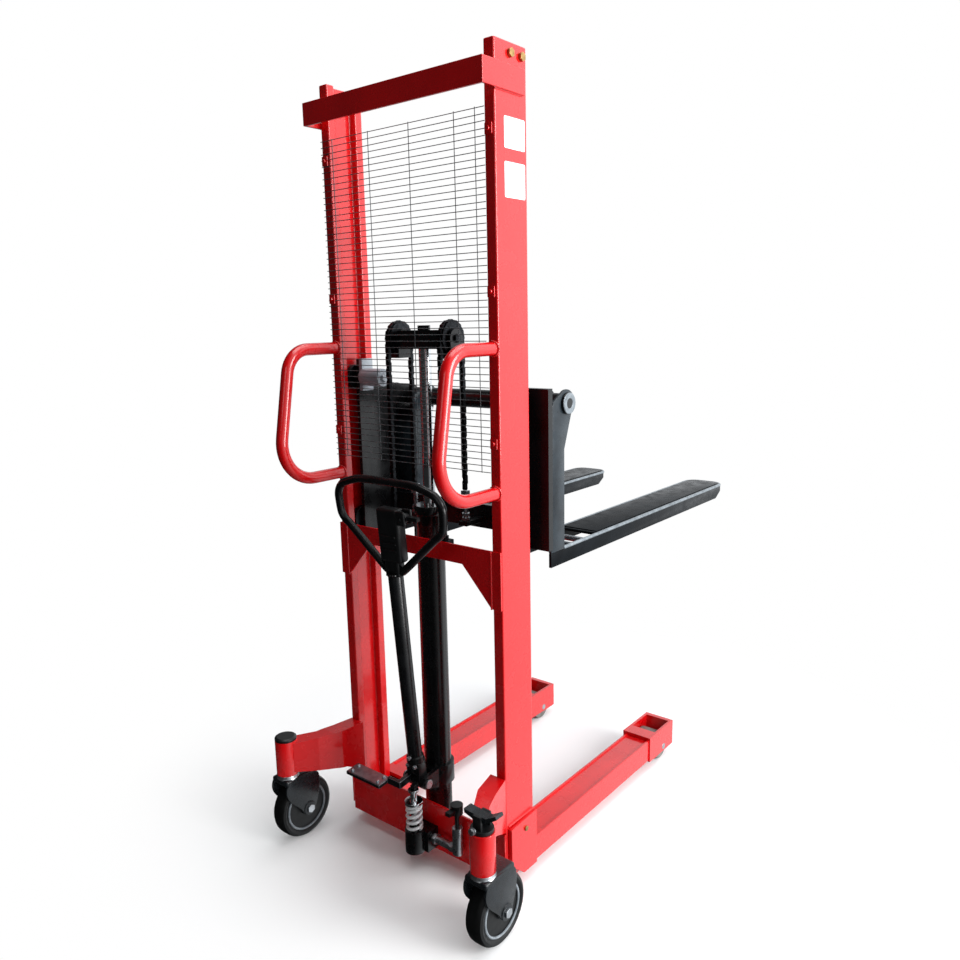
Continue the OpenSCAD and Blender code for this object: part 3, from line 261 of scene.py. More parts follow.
zinc_plate = make_metal("zinc_plated_steel", "#c9cccf", "#a9adb1", 0.3, 12, 3, 0.03)
dull_zinc_wire = make_metal("dull_galvanised_wire", "#75797c", "#55595c", 0.5, 18, 4, 0.05, 0.5)
# The spring wire's near-white base is partly painted reflection, on top of its pale zinc-flake
# coat.
zinc_flake_and_painted_reflection = make_metal("zinc_flake_wire_and_painted_reflection", "#f0f1f2", "#d8dadb", 0.36, 12, 3, 0.02, 0.35)
worn_steel = make_metal("worn_bare_steel", "#9da4a9", "#7d8489", 0.34, 20, 3, 0.05)
yellow_zinc = make_metal("yellow_passivated_zinc", "#b08f5c", "#8f7247", 0.38, 12, 3, 0.03)
hard_chrome = make_metal("hard_chrome", "#dcdee0", "#c6c9cc", 0.1, 30, 5, 0.01)
oiled_steel = make_metal("oiled_chain_steel", "#2e3033", "#17181a", 0.36, 9, 4, 0.05)
print("materials so far:", len(bpy.data.materials))

# %% [markdown]
# ## Plastics and rubber
# The caster hoods are moulded nylon in a dark slate; the wheels have a black polyurethane tread
# cast on a nylon centre; the leg rollers are grey nylon; grips and knobs are moulded black nylon
# with a fine spark-eroded grain. The labels on the mast are blank white vinyl.

# %% Plastics, tread and vinyl
flow_marks_mm, dull_spots_mm = 25, 15


def make_moulding(name, base, shade, roughness, specular, grain_mm, depth_mm):
    return make_surface(
        name, {"Roughness": roughness, "IOR": 1.5, "Specular IOR Level": specular},
        (flow_marks_mm, shade, base), (dull_spots_mm, 0.06, 0.08),
        (grain_mm, "ShaderNodeTexVoronoi", {}), depth_mm, 0.35,
    )


slate_nylon = make_moulding("slate_nylon_hood", "#14191d", "#0c1013", 0.28, 0.45, 4, 0.08)
black_nylon = make_moulding("black_nylon", "#0b0c0d", "#121315", 0.36, 0.4, 3, 0.08)
tread = make_moulding("polyurethane_tread", "#060707", "#0b0c0d", 0.46, 0.3, 5, 0.1)
hub_nylon = make_moulding("wheel_centre_nylon", "#0c0e10", "#15181b", 0.3, 0.5, 4, 0.06)
# Painted highlight: the wheel's ribs and bead rings get this light grey in place of the light they
# catch.
highlight_painted_rib_nylon = make_moulding("wheel_rib_painted_highlight", "#8b9298", "#646b71", 0.34, 0.5, 4, 0.06)
roller_nylon = make_moulding("grey_roller_nylon", "#77736e", "#5f5c58", 0.45, 0.5, 5, 0.1)
blank_vinyl = make_moulding("blank_white_vinyl", "#f4efef", "#ebe4e4", 0.32, 0.5, 6, 0.02)
print("materials:", len(bpy.data.materials))

# %% [markdown]
# ## Working steel with softened edges
# The CAD solids have knife edges. Real plate is sheared or flame cut, ground and then painted, so
# every edge is a small round that catches a thin line of light. One function gives a CAD piece its
# material and that round: the mesh is cleaned of triangle seams first, so that the round follows
# true edges.

# %% Softened edges
seam_mm, flat_degrees, edge_degrees = 0.01, 1, 34


def finish_piece(node, material, edge_mm, edge_material=None):
    """Paints a CAD piece and softens its edges with modifiers, which leave its own vertices alone.
    A worn piece shows another material on its rounds."""
    piece = nodes[node]
    piece.data.materials.clear()
    piece.data.materials.append(material)
    weld = piece.modifiers.new("weld", "WELD")
    weld.merge_threshold = mm(seam_mm)
    flat = piece.modifiers.new("flat_faces", "DECIMATE")
    flat.decimate_type = "DISSOLVE"
    flat.angle_limit = math.radians(flat_degrees)
    if edge_mm:
        round_edges = piece.modifiers.new("round_edges", "BEVEL")
        round_edges.width = mm(edge_mm)
        round_edges.segments = 2
        round_edges.limit_method = "ANGLE"
        round_edges.angle_limit = math.radians(edge_degrees)
        round_edges.harden_normals = True
        if edge_material:
            piece.data.materials.append(edge_material)
            round_edges.material = 1


# %% CAD pieces and their finishes
# Each table gives the round of a piece's edges in millimetres.
painted_red = {
    "left_upright": 4, "right_upright": 4, "mesh_clips": 0.6, "top_crossbar": 1.5,
    "mid_crossbeam": 1.2, "base_plate": 1.5, "left_shoe": 2, "right_shoe": 2, "left_leg": 2,
    "right_leg": 2, "left_caster_arm": 3, "right_caster_arm": 3,
}
enamelled = {
    "crosshead": 1.5, "carriage_frame": 1.5, "tiller_bracket": 2, "fork_bar": 1.5,
    "pump_block": 2.5,
}
bright_parts = {
    "release_valve": 0.8, "leg_roller_axles": 0.8, "tiller_pin": 0.8, "chain_anchors": 0.7,
    "left_caster_axle": 0.8, "right_caster_axle": 0.8,
}
oiled_parts = {
    "crosshead_bolt": 1, "sheave_pins": 0.8, "rear_chain_anchors": 0.8, "left_sheave": 1,
    "right_sheave": 1, "upper_left_roller": 1, "upper_right_roller": 1, "lower_left_roller": 1,
    "lower_right_roller": 1,
}
nylon_parts = {
    "valve_knob": 1.5, "release_lever": 1.2, "brake_mount": 1.5, "left_sleeve_cap": 1.5,
}
for parts, material in (
    (painted_red, red_powder_coat), (enamelled, black_enamel),
    ({"lift_cylinder": 1.5}, cylinder_enamel), (bright_parts, zinc_plate),
    ({"frame_bolts": 0.8}, yellow_zinc), ({"piston_rod": 0, "pump_plunger": 0.8}, hard_chrome),
    (oiled_parts, oiled_steel), (nylon_parts, black_nylon),
    ({"right_brake_pedal": 1.5}, slate_nylon),
    ({"left_leg_roller": 2.5, "right_leg_roller": 2.5}, roller_nylon),
    ({"guide_blocks": 1.5}, grey_enamel),
):
    for node, edge in parts.items():
        finish_piece(node, material, edge)
finish_piece("foot_pedal", black_enamel, 1.5, worn_steel)
print("CAD pieces finished:", sum(1 for piece in nodes.values() if piece.modifiers))

# %% [markdown]
# ## Making new pieces
# Finer pieces are built the way a shop makes them: tube is swept along a bent line, turned parts
# are spun from a profile, plate is cut from an outline and moulded parts are rounded blocks. Each
# function returns a mesh that can be joined with others, so that one fabricated piece is one
# object.

# %% Joined and shaded pieces


def smooth_piece(name, parts, body=None, angle=38):
    """Joins meshes from the functions below into one shaded object and lets it ride on a body."""
    joined = bmesh.new()
    materials = []
    for part, material in parts:
        if material not in materials:
            materials.append(material)
        start = len(joined.faces)
        spare = bpy.data.meshes.new("spare")
        part.to_mesh(spare)
        part.free()
        joined.from_mesh(spare)
        bpy.data.meshes.remove(spare)
        joined.faces.ensure_lookup_table()
        for face in joined.faces[start:]:
            face.material_index = materials.index(material)
    mesh = bpy.data.meshes.new(name)
    joined.to_mesh(mesh)
    joined.free()
    for material in materials:
        mesh.materials.append(material)
    mesh.shade_smooth()
    mesh.set_sharp_from_angle(angle=math.radians(angle))
    piece = bpy.data.objects.new(name, mesh)
    bpy.context.scene.collection.objects.link(piece)
    if body:
        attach(piece, body)
    return piece


# %% Swept tube


def tube(path, radius, sides=16, closed=False, up=Vector((0, 0, 1))):
    """A round bar swept along points. Its section turns as little as it can from point to point."""
    made = bmesh.new()
    points = [Vector(p) for p in path]
    count = len(points)
    rings = []
    side = None
    for i, point in enumerate(points):
        before = points[i - 1] if i or closed else point
        after = points[(i + 1) % count] if i < count - 1 or closed else point
        along = (after - before).normalized()
        if side is None:
            side = along.cross(up if abs(along.dot(up)) < 0.95 else Vector((1, 0, 0))).normalized()
        side = (side - along * side.dot(along)).normalized()
        other = along.cross(side)
        rings.append([
            made.verts.new(point + radius * (math.cos(a) * side + math.sin(a) * other))
            for a in (2 * math.pi * k / sides for k in range(sides))
        ])
    for i in range(count if closed else count - 1):
        low, high = rings[i], rings[(i + 1) % count]
        for k in range(sides):
            made.faces.new((low[k], low[(k + 1) % sides], high[(k + 1) % sides], high[k]))
    if not closed:
        made.faces.new(reversed(rings[0]))
        made.faces.new(rings[-1])
    bmesh.ops.recalc_face_normals(made, faces=made.faces)
    return made


# %% Turned parts


def turned(profile, place, axis, sides):
    """A part spun from (distance along the axis, radius) points in millimetres round an axis."""
    made = bmesh.new()
    rings = []
    for along, radius in ((mm(length), mm(half)) for length, half in profile):
        ring = []
        for k in range(sides if radius > 0 else 1):
            a = 2 * math.pi * k / sides
            flat = (radius * math.cos(a), radius * math.sin(a))
            point = {
                "X": (along, *flat), "Y": (flat[1], along, flat[0]), "Z": (*flat, along),
            }[axis]
            ring.append(made.verts.new(Vector(place) + Vector(point)))
        rings.append(ring)
    for low, high in zip(rings, rings[1:]):
        for k in range(sides):
            corners = [
                low[k % len(low)], low[(k + 1) % len(low)],
                high[(k + 1) % len(high)], high[k % len(high)],
            ]
            kept = [c for n, c in enumerate(corners) if c not in corners[:n]]
            if len(kept) > 2:
                made.faces.new(kept)
    for ring, at_end in ((rings[0], 0), (rings[-1], 1)):
        if len(ring) > 1:
            made.faces.new(ring if at_end else reversed(ring))
    bmesh.ops.recalc_face_normals(made, faces=made.faces)
    return made


# %% Cut plate


def cut_plate(outline, thick_mm, place, across, edge_mm=0.0):
    """Plate cut to an outline and set across an axis; the outline is in the other two axes."""
    made = bmesh.new()

    def corner(u, v, w):
        point = {"X": (w, u, v), "Y": (u, w, v), "Z": (u, v, w)}[across]
        return made.verts.new(Vector(place) + Vector(point))

    near = [corner(u, v, 0) for u, v in outline]
    far = [corner(u, v, mm(thick_mm)) for u, v in outline]
    made.faces.new(near)
    made.faces.new(reversed(far))
    for k in range(len(near)):
        made.faces.new((near[k], far[k], far[(k + 1) % len(far)], near[(k + 1) % len(near)]))
    bmesh.ops.recalc_face_normals(made, faces=made.faces)
    if edge_mm:
        soften(made, edge_mm)
    return made


# %% Rounded edges and blocks


def soften(made, edge_mm, segments=2):
    """Rounds the edges of a mesh that turn by more than 25 degrees."""
    sharp = [
        e for e in made.edges
        if len(e.link_faces) == 2 and e.calc_face_angle(0) > math.radians(25)
    ]
    bmesh.ops.bevel(
        made, geom=sharp, offset=mm(edge_mm), segments=segments, profile=0.5, affect="EDGES",
        clamp_overlap=True,
    )
    return made


def rounded_block(low, high, edge_mm, segments=3):
    """A machined or moulded block with rounded edges, from its low to its high corner."""
    made = bmesh.new()
    bmesh.ops.create_cube(made, size=1)
    low, high = Vector(low), Vector(high)
    for v in made.verts:
        v.co = Vector([low[i] + (v.co[i] + 0.5) * (high[i] - low[i]) for i in range(3)])
    return soften(made, edge_mm, segments)


# %% Bolt heads


def hexagon_bolt(place, axis, across_flats_mm, height_mm, washer_mm, facing=1):
    """A chamfered hexagon head on its washer, as a list of two meshes."""
    radius = across_flats_mm / math.sqrt(3)
    height, base = height_mm * facing, 1.6 * facing
    washer = turned([(0, washer_mm / 2), (base, washer_mm / 2)], place, axis, 24)
    head = turned([
        (base, radius), (base + height * 0.86, radius), (base + height, radius * 0.84),
    ], place, axis, 6)
    return [washer, head]


# %% Places and outlines


def at_mast(x, y, z):
    """A point in millimetres from the middle, from the mast's back and from the floor."""
    return Vector((mm(x), mast_back + mm(y), mm(z)))


def side_view(outline):
    """An outline in millimetres from the mast's back and the floor, turned to metres."""
    return [(mast_back + mm(y), mm(z)) for y, z in outline]


def softened_outline(points, rounds=2):
    """Cuts the corners of a closed outline again and again, which turns it into a flowing curve."""
    for _ in range(rounds):
        points = [
            tuple(a * w + b * (1 - w) for a, b in zip(p, q))
            for p, q in zip(points, points[1:] + points[:1]) for w in (0.75, 0.25)
        ]
    return points


def both_sides(builder):
    """Builds the same piece on the right and on the left."""
    for side, name in ((1, "right"), (-1, "left")):
        builder(side, name)


print("shop ready")

# %% [markdown]
# ## The mesh guard
# The guard keeps hands out of the chains. It is a welded wire mesh: straight 3 mm wires laid level,
# resistance welded to five upright wires behind them, then galvanised. Each wire is a round bar,
# and each one sags or leans a fraction of a millimetre, as welded mesh does. The wires are drawn 2
# mm thick, because that is as heavy as they look in the picture.

# %% Mesh guard
guard_low, guard_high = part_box("mesh_guard")
wire_radius, wire_shown, wire_pitch = mm(1.5), mm(1.0), mm(15.5)
wire_sides, wire_spans = 8, 4
level_depth, upright_depth, upright_middle = -1.6, -4.2, 1500
most_lean, most_sag, most_drift = 0.5, 0.4, 1
left_trim, right_trim = mm(9), mm(12)
upright_wires = (-240, -109, 28, 171, 233)
handle_top, handle_bottom, handle_middle, handle_radius, handle_gap = 1412, 1070, 271, 16, 3
chance = random.Random(4)

wire_rows = round((guard_high.z - guard_low.z - 2 * wire_radius) / wire_pitch) + 1
wires = []
for row in range(wire_rows):
    height = guard_low.z + wire_radius + row * wire_pitch
    meets_handle = abs(height - mm(handle_top)) < mm(handle_radius) + 2 * wire_radius
    reach = mm(handle_middle - handle_radius - handle_gap)
    left_end = -reach if meets_handle else guard_low.x + left_trim
    right_end = reach if meets_handle else guard_high.x - right_trim
    lean, sag = chance.uniform(-most_lean, most_lean), chance.uniform(-most_sag, most_sag)
    line = []
    for k in range(wire_spans + 1):
        x = left_end + (right_end - left_end) * k / wire_spans
        bend = lean * (x / right_end) + sag * math.sin(3 * x / right_end)
        line.append((x, mast_back + mm(level_depth), height + mm(bend)))
    wires.append((tube(line, wire_shown, wire_sides), dull_zinc_wire))
for x in upright_wires:
    foot_x = x + chance.uniform(-most_drift, most_drift)
    head_x = x + chance.uniform(-most_drift, most_drift)
    wires.append((tube([
        at_mast(foot_x, upright_depth, guard_low.z * 1000),
        at_mast(x, upright_depth, upright_middle),
        at_mast(head_x, upright_depth, guard_high.z * 1000),
    ], wire_shown, wire_sides), dull_zinc_wire))
mesh_guard = smooth_piece("woven_mesh_guard", wires, "frame")
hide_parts("mesh_guard")
print("level wires:", wire_rows, "pitch", wire_pitch)

# %% [markdown]
# ## Push handles
# Each handle is one length of 32 mm tube, bent cold on a tube bender so that it leans back from the
# mast, with both ends cut square and welded to the channel's back flange. The weld is a rope of
# small overlapping puddles, so it is drawn as a ring whose height rises and falls.

# %% Welds and bends
bead_sides = 8
puddle_rise, uneven_rise, puddle_swell = 0.06, 0.03, 0.12


def weld_ring(centre, axis, radius, bead_mm, puddles=22):
    """The bead left where a tube is welded to a plate."""
    line = []
    steps = puddles * 4
    for k in range(steps):
        a = 2 * math.pi * k / steps
        rise = 1 + puddle_rise * math.sin(puddles * a) + uneven_rise * math.sin(3 * a + 1)
        flat = (radius * rise * math.cos(a), radius * rise * math.sin(a))
        point = {"Y": (flat[0], 0, flat[1]), "Z": (*flat, 0)}[axis]
        line.append(Vector(centre) + Vector(point))
    return tube(line, mm(bead_mm), bead_sides, closed=True, up=Vector((0.3, 0.4, 0.9)))


def weld_line(start, end, bead_mm, pitch_mm=3):
    """A straight fillet weld with its puddles."""
    run = end - start
    steps = max(4, round(run.length / mm(pitch_mm)) * 2)
    bead = tube([start.lerp(end, k / steps) for k in range(steps + 1)], mm(bead_mm), bead_sides)
    for v in bead.verts:
        nearest = start.lerp(end, (v.co - start).dot(run) / run.length_squared)
        phase = (nearest - start).length / mm(pitch_mm)
        v.co = nearest + (v.co - nearest) * (1 + puddle_swell * math.sin(2 * math.pi * phase))
    return bead


def oval_points(centre_u, centre_v, wide, high, angles):
    """Points round a centre at some angles in degrees."""
    return [
        (centre_u + wide * math.cos(math.radians(a)), centre_v + high * math.sin(math.radians(a)))
        for a in angles
    ]


def arc_points(centre_u, centre_v, radius, start, end, steps):
    """Evenly spaced points of a round bend, both ends included."""
    angles = [start + (end - start) * k / steps for k in range(steps + 1)]
    return oval_points(centre_u, centre_v, radius, radius, angles)


# %% Push handles
handle_back, handle_straight = -100, -40
top_bend, bottom_bend = 70, 100


def push_handle(side, name):
    line = (
        [(-1, handle_top), (handle_straight, handle_top)]
        + arc_points(handle_back, handle_top - top_bend, top_bend, 90, 170, 12)
        + arc_points(handle_back, handle_bottom + bottom_bend, bottom_bend, 170, 270, 14)
        + [(handle_straight, handle_bottom), (-1, handle_bottom)]
    )
    x = side * handle_middle
    bar = tube([at_mast(x, y, z) for y, z in line], mm(handle_radius), 24, up=Vector((1, 0, 0)))
    welds = [
        weld_ring(at_mast(x, -1.5, z), "Y", mm(handle_radius + 0.5), 3)
        for z in (handle_top, handle_bottom)
    ]
    parts = [(part, red_powder_coat) for part in (bar, *welds)]
    piece = smooth_piece(f"{name}_push_handle", parts, "frame", 50)
    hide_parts(f"{name}_handle")


both_sides(push_handle)
print("push handles bent")

# %% [markdown]
# ## Tiller
# The tiller is a steel tube with a closed loop of thinner tube welded to its top, and a forged yoke
# at its foot that rocks on the pump's pin. It leans back a few degrees. Everything is enamelled
# black and shines, because the loop is polished by hands. Its parts are made upright round the pin,
# in millimetres, and are then turned to the tiller's lean.

# %% Tiller's own place
tiller_foot = at_mast(0, -25, 240)
tiller_lean = math.radians(5)
tiller_turn = Matrix.Translation(tiller_foot) @ Matrix.Rotation(tiller_lean, 4, "X")


def upright(x, y, z):
    """A point in millimetres from the tiller's pin, before the tiller leans."""
    return Vector((mm(x), mm(y), mm(z)))


def leaning(parts, material):
    """Turns upright meshes to the tiller's place and lean, and pairs them with their material."""
    for made in parts:
        bmesh.ops.transform(made, matrix=tiller_turn, verts=made.verts)
    return [(made, material) for made in parts]


at_pin = upright(0, 0, 0)

# %% Tiller tube, loop and yoke
loop_half, loop_middle, loop_bottom, loop_top = 184, 768, 612, 850
half_loop = (
    [(0, loop_top), (loop_half * 0.3, loop_top), (loop_half * 0.55, loop_top - 1)]
    + oval_points(loop_half - 55, loop_middle + 22, 55, 50, (60, 48, 36, 24, 12, 0))
    + oval_points(loop_half - 50, loop_middle, 50, 50, (-20, -32, -44, -56, -68))
    + oval_points(0, loop_bottom + 57, 66, 60, (-60, -70, -80))
)
loop_line = half_loop + [(0, loop_bottom - 3)] + [(-x, z) for x, z in reversed(half_loop[1:])]
loop_line = [upright(x, 0, z) for x, z in softened_outline(loop_line)]
loop_bar = tube(loop_line, mm(10.5), 18, closed=True, up=Vector((0, 1, 0)))
column = turned([(40, 20), (605, 20), (609, 18)], at_pin, "Z", 36)
collar = turned([(58, 22), (60, 24), (76, 24), (79, 21)], at_pin, "Z", 36)
yoke_cheek = [
    (-16, -6), (-10, -15), (0, -17), (10, -15), (17, -4), (16, 20), (14, 58), (-14, 58), (-16, 20),
]
yoke_cheek = [(mm(y), mm(z)) for y, z in softened_outline(yoke_cheek, 1)]
cheeks = [cut_plate(yoke_cheek, 9, upright(x, 0, 0), "X", 1.5) for x in (-23, 14)]
bridge = rounded_block(upright(-22, -13, 30), upright(22, 13, 60), 3)
barrel = turned([(-14, 13), (14, 13)], at_pin, "X", 28)
lug = rounded_block(upright(5, -36, -6), upright(21, -6, 5), 2)
loop_weld = weld_ring(upright(0, 0, 606), "Z", mm(20), 3.2, 20)
tiller_parts = (loop_bar, column, collar, bridge, barrel, lug, loop_weld, *cheeks)
tiller = smooth_piece("tiller_tube_and_loop", leaning(tiller_parts, black_enamel), "tiller", 40)
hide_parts("tiller")
print("tiller loop points:", len(loop_line))

# %% Bolts of the yoke and the pedal
yoke_bolts, pedal_bolts = [], []
for x, y, z in ((-12, -16, 52), (12, -16, 52), (0, -21.5, 78)):
    yoke_bolts += hexagon_bolt(upright(x, y, z), "Y", 10, 6, 13, -1)
smooth_piece("yoke_bolts", leaning(yoke_bolts, zinc_plate), "tiller")
for x, y in ((-172, -58), (-172, -82), (-72, -58), (-72, -82)):
    pedal_bolts += hexagon_bolt(upright(x, y, 12), "Z", 8, 3.5, 11)
tread_plate = rounded_block(upright(-184, -91, 12), upright(-58, -49, 12.8), 0.3, 1)
pedal_parts = leaning(pedal_bolts, zinc_plate) + leaning([tread_plate], worn_steel)
smooth_piece("foot_pedal_bolts", pedal_parts, "tiller")
print("bolt meshes:", len(yoke_bolts) + len(pedal_bolts))

# %% [markdown]
# ## Grip housing
# The middle of the loop holds a moulded housing for the release lever: a shell of black nylon that
# wraps the loop's crossbar, with a finger recess. Mouldings have draft and generous rounds, so that
# they leave the tool, and those rounds are what the light picks out.

# %% Grip housing
shells = [
    rounded_block(upright(*low), upright(*high), edge, segments) for low, high, edge, segments in (
        ((-34, -17, 640), (40, 17, 782), 9, 4), ((-24, -14, 600), (26, 14, 650), 7, 4),
        ((36, -17, 744), (66, -8.6, 782), 5, 3), ((36, 8.6, 744), (66, 17, 782), 5, 3),
    )
]
ribs = [
    rounded_block(upright(-26, -19, z), upright(30, -15, z + 5), 1.8, 2) for z in (672, 690, 708)
]
lever_pin = turned([(-17, 4), (17, 4)], upright(54, 0, 762), "Y", 20)
housing_parts = leaning(shells + ribs, black_nylon) + leaning([lever_pin], zinc_plate)
housing = smooth_piece("grip_housing_shell", housing_parts, "tiller", 45)
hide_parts("grip_housing")
print("grip housing moulded from", len(housing_parts), "meshes")

# %% [markdown]
# ## Pump spring
# The return spring is cold coiled from 8 mm bright wire with ground flat ends. It is one helix with
# a little extra wire at each end lying almost flat.

# %% Pump spring
spring_low, spring_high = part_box("pump_spring")
spring_middle = (spring_low + spring_high) / 2
spring_turns, flat_end, end_creep, steps_per_turn = 3.5, 0.75, 0.9, 28
coil_wire, spring_grip = mm(4.2), mm(3)
coil_radius = (spring_high.x - spring_low.x) / 2 - coil_wire
coil_rise = spring_high.z - spring_low.z - 4 * coil_wire
coil_line = []
for k in range(int((spring_turns + 2 * flat_end) * steps_per_turn) + 1):
    turns_made = k / steps_per_turn
    climbed = min(max(turns_made - flat_end, 0), spring_turns)
    lying = min(turns_made, flat_end) + max(turns_made - flat_end - spring_turns, 0)
    creep = end_creep * coil_wire * lying / flat_end
    a = 2 * math.pi * turns_made
    coil_line.append(Vector((
        spring_middle.x + coil_radius * math.cos(a), spring_middle.y + coil_radius * math.sin(a),
        spring_low.z + coil_wire + creep + coil_rise * climbed / spring_turns,
    )))
# The coil's near-white wire is partly painted reflection.
coil = smooth_piece("pump_return_spring", [(tube(coil_line, coil_wire, 12), zinc_flake_and_painted_reflection)])
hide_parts("pump_spring")
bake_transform(coil)
print("spring:", spring_turns, "working turns, height", round(spring_high.z - spring_low.z, 3))

# %% [markdown]
# ## Leaf chains
# Two leaf chains hang the carriage from the crosshead. Leaf chain is a stack of steel plates shaped
# like a figure eight, pinned together so that neighbours alternate. Each strand is drawn link by
# link at a 15.9 mm pitch. The half turn over the sheave rides with the ram.

# %% Links
chain_pitch = mm(15.875)
link_plate_mm, link_eye, link_waist = 2.0, mm(5.3), 0.9
outer_plates, inner_plates = (-6, -2, 2), (-4, 0, 4)
link_pin = [(-6.6, 2.4), (6.6, 2.4)]


def link_plate(low_pin, high_pin, x_low):
    """One figure-eight plate between two pins, of a thickness along X."""
    along = (high_pin - low_pin).normalized()
    side = Vector((0, -along.z, along.y))
    outline = []
    for centre, turn, hollow in ((high_pin, 0, 1), (low_pin, math.pi, -1)):
        for k in range(7):
            a = turn + math.radians(-75 + 150 * k / 6)
            outline.append(centre + link_eye * (math.cos(a) * along + math.sin(a) * side))
        outline.append((low_pin + high_pin) / 2 + side * link_eye * link_waist * hollow)
    return cut_plate([(p.y, p.z) for p in outline], link_plate_mm, Vector((x_low, 0, 0)), "X")


def chain_links(pins, middle_x):
    """Plates and pins of a leaf chain over a line of pin centres."""
    made = []
    for n, (a, b) in enumerate(zip(pins, pins[1:])):
        for x in inner_plates if n % 2 else outer_plates:
            made.append((link_plate(a, b, middle_x + mm(x)), oiled_steel))
    for pin in pins:
        made.append((turned(link_pin, Vector((middle_x, pin.y, pin.z)), "X", 10), oiled_steel))
    return made


def strand_pins(y_mm, low_mm, high_mm):
    """Pin centres of a straight strand, as near to the pitch as its length allows."""
    count = round(mm(high_mm - low_mm) / chain_pitch)
    return [at_mast(0, y_mm, low_mm + (high_mm - low_mm) * k / count) for k in range(count + 1)]


# %% Strands and half turns
sheave_y, sheave_high, wrap_radius, wrap_links = 60, 1435, 41.9, 8
strand_x, rear_anchor, front_anchor, anchor_grip = 90, 956, 1046, 10
rear_y, front_y = 18, 102
wrap_pins = [
    at_mast(0, y, z)
    for y, z in arc_points(sheave_y, sheave_high, wrap_radius, 180, 0, wrap_links)
]
rear_parts, front_parts, wrap_parts = [], [], []
for side in (-1, 1):
    x = side * mm(strand_x)
    rear_parts += chain_links(strand_pins(sheave_y - wrap_radius, rear_anchor, sheave_high), x)
    front_parts += chain_links(strand_pins(sheave_y + wrap_radius, front_anchor, sheave_high), x)
    wrap_parts += chain_links(wrap_pins, x)
rear = smooth_piece("rear_leaf_chains", rear_parts)
front = smooth_piece("front_leaf_chains", front_parts)
wraps = smooth_piece("chain_half_turns", wrap_parts, "ram")
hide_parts("rear_chains")
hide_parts("front_chains")
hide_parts("chain_wraps")
for strand, body, y, anchor in (
    (rear, "frame", rear_y, rear_anchor), (front, "carriage", front_y, front_anchor),
):
    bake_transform(strand)
print("chain faces:", sum(len(part.data.polygons) for part in (rear, front, wraps)))

# %% [markdown]
# ## Casters
# Each caster has a moulded hood, shaped like a drop, that covers its steel fork; the wheel is a
# black tread cast round a nylon centre with ribs. The ribs and two bead rings on the centre are
# coloured light grey, a painted highlight on the black nylon. The moulded hood is drawn as two
# flowing cheeks joined by a saddle over the wheel.

# %% Caster hoods
caster_x, wheel_y, wheel_high, swivel_y = 360, -144, 90, -187
hood_half, hood_cheek_t = 35, 7
hood_drop = softened_outline([
    (wheel_y - 4, 68), (wheel_y + 10, 68), (wheel_y + 24, 86), (wheel_y + 40, 132),
    (wheel_y + 44, 168), (wheel_y + 36, 197), (swivel_y, 204), (swivel_y - 27, 196),
    (swivel_y - 37, 170), (swivel_y - 27, 140), (wheel_y - 30, 100), (wheel_y - 20, 80),
])
swivel_race = [(201, 33), (205, 30), (208, 30), (211.4, 28)]
king_pin = [(190, 15), (314, 15)]


def caster_hood(side, name):
    middle = side * caster_x
    parts = []
    for low in (-hood_half, hood_half - hood_cheek_t):
        place = Vector((mm(middle + low), 0, 0))
        parts.append((cut_plate(side_view(hood_drop), hood_cheek_t, place, "X", 2.2), slate_nylon))
    saddle = rounded_block(
        at_mast(middle - 34, -219, 184), at_mast(middle + 34, wheel_y + 38, 203), 7, 4
    )
    parts.append((saddle, slate_nylon))
    parts.append((turned(swivel_race, at_mast(middle, swivel_y, 0), "Z", 32), zinc_plate))
    parts.append((turned(king_pin, at_mast(middle, swivel_y, 0), "Z", 24), zinc_plate))
    for facing in (-1, 1):
        axle_boss = [(0, 21), (2.2 * facing, 20), (3 * facing, 15)]
        place = at_mast(middle + facing * hood_half, wheel_y, wheel_high)
        parts.append((turned(axle_boss, place, "X", 32), slate_nylon))
    piece = smooth_piece(f"{name}_caster_hood", parts, f"{name}_caster", 42)
    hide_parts(f"{name}_caster_fork")


both_sides(caster_hood)

# %% Caster wheels
wheel_sides, wheel_ribs, bead_ring = 72, 5, 65
half_tread = [(8, 90), (16, 89), (22, 85.5), (24.5, 79), (23, 73), (19, 69)]
tread_profile = [(-x, r) for x, r in reversed(half_tread)] + half_tread
centre_profile = [
    (-20, 61), (-21, 70), (21, 70), (20, 61), (4, 59), (4, 26), (23, 22), (25, 20), (25, 9),
    (-25, 9), (-25, 20), (-23, 22), (-4, 26), (-4, 59), (-20, 61),
]


def caster_wheel(side, name):
    place = at_mast(side * caster_x, wheel_y, wheel_high)
    parts = [
        (turned(tread_profile, place, "X", wheel_sides), tread),
        (turned(centre_profile, place, "X", wheel_sides), hub_nylon),
    ]
    # Ribs and bead rings in light grey are painted highlight on the black centre.
    for k in range(wheel_ribs):
        spoke = Matrix.Rotation(2 * math.pi * k / wheel_ribs, 4, "X")
        for low, high in ((-18, -3), (3, 18)):
            rib = rounded_block((mm(low), mm(-4), mm(20)), (mm(high), mm(4), mm(62)), 1.8, 2)
            bmesh.ops.transform(rib, matrix=Matrix.Translation(place) @ spoke, verts=rib.verts)
            parts.append((rib, highlight_painted_rib_nylon))
    for x in (-21, 21):
        bead = [
            place + Vector((mm(x), mm(bead_ring) * math.cos(a), mm(bead_ring) * math.sin(a)))
            for a in (2 * math.pi * k / wheel_sides for k in range(wheel_sides))
        ]
        parts.append((tube(bead, mm(3), 8, closed=True, up=Vector((1, 0, 0))), highlight_painted_rib_nylon))
    piece = smooth_piece(f"{name}_wheel_and_tread", parts, f"{name}_caster_wheel", 35)
    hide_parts(f"{name}_caster_wheel")


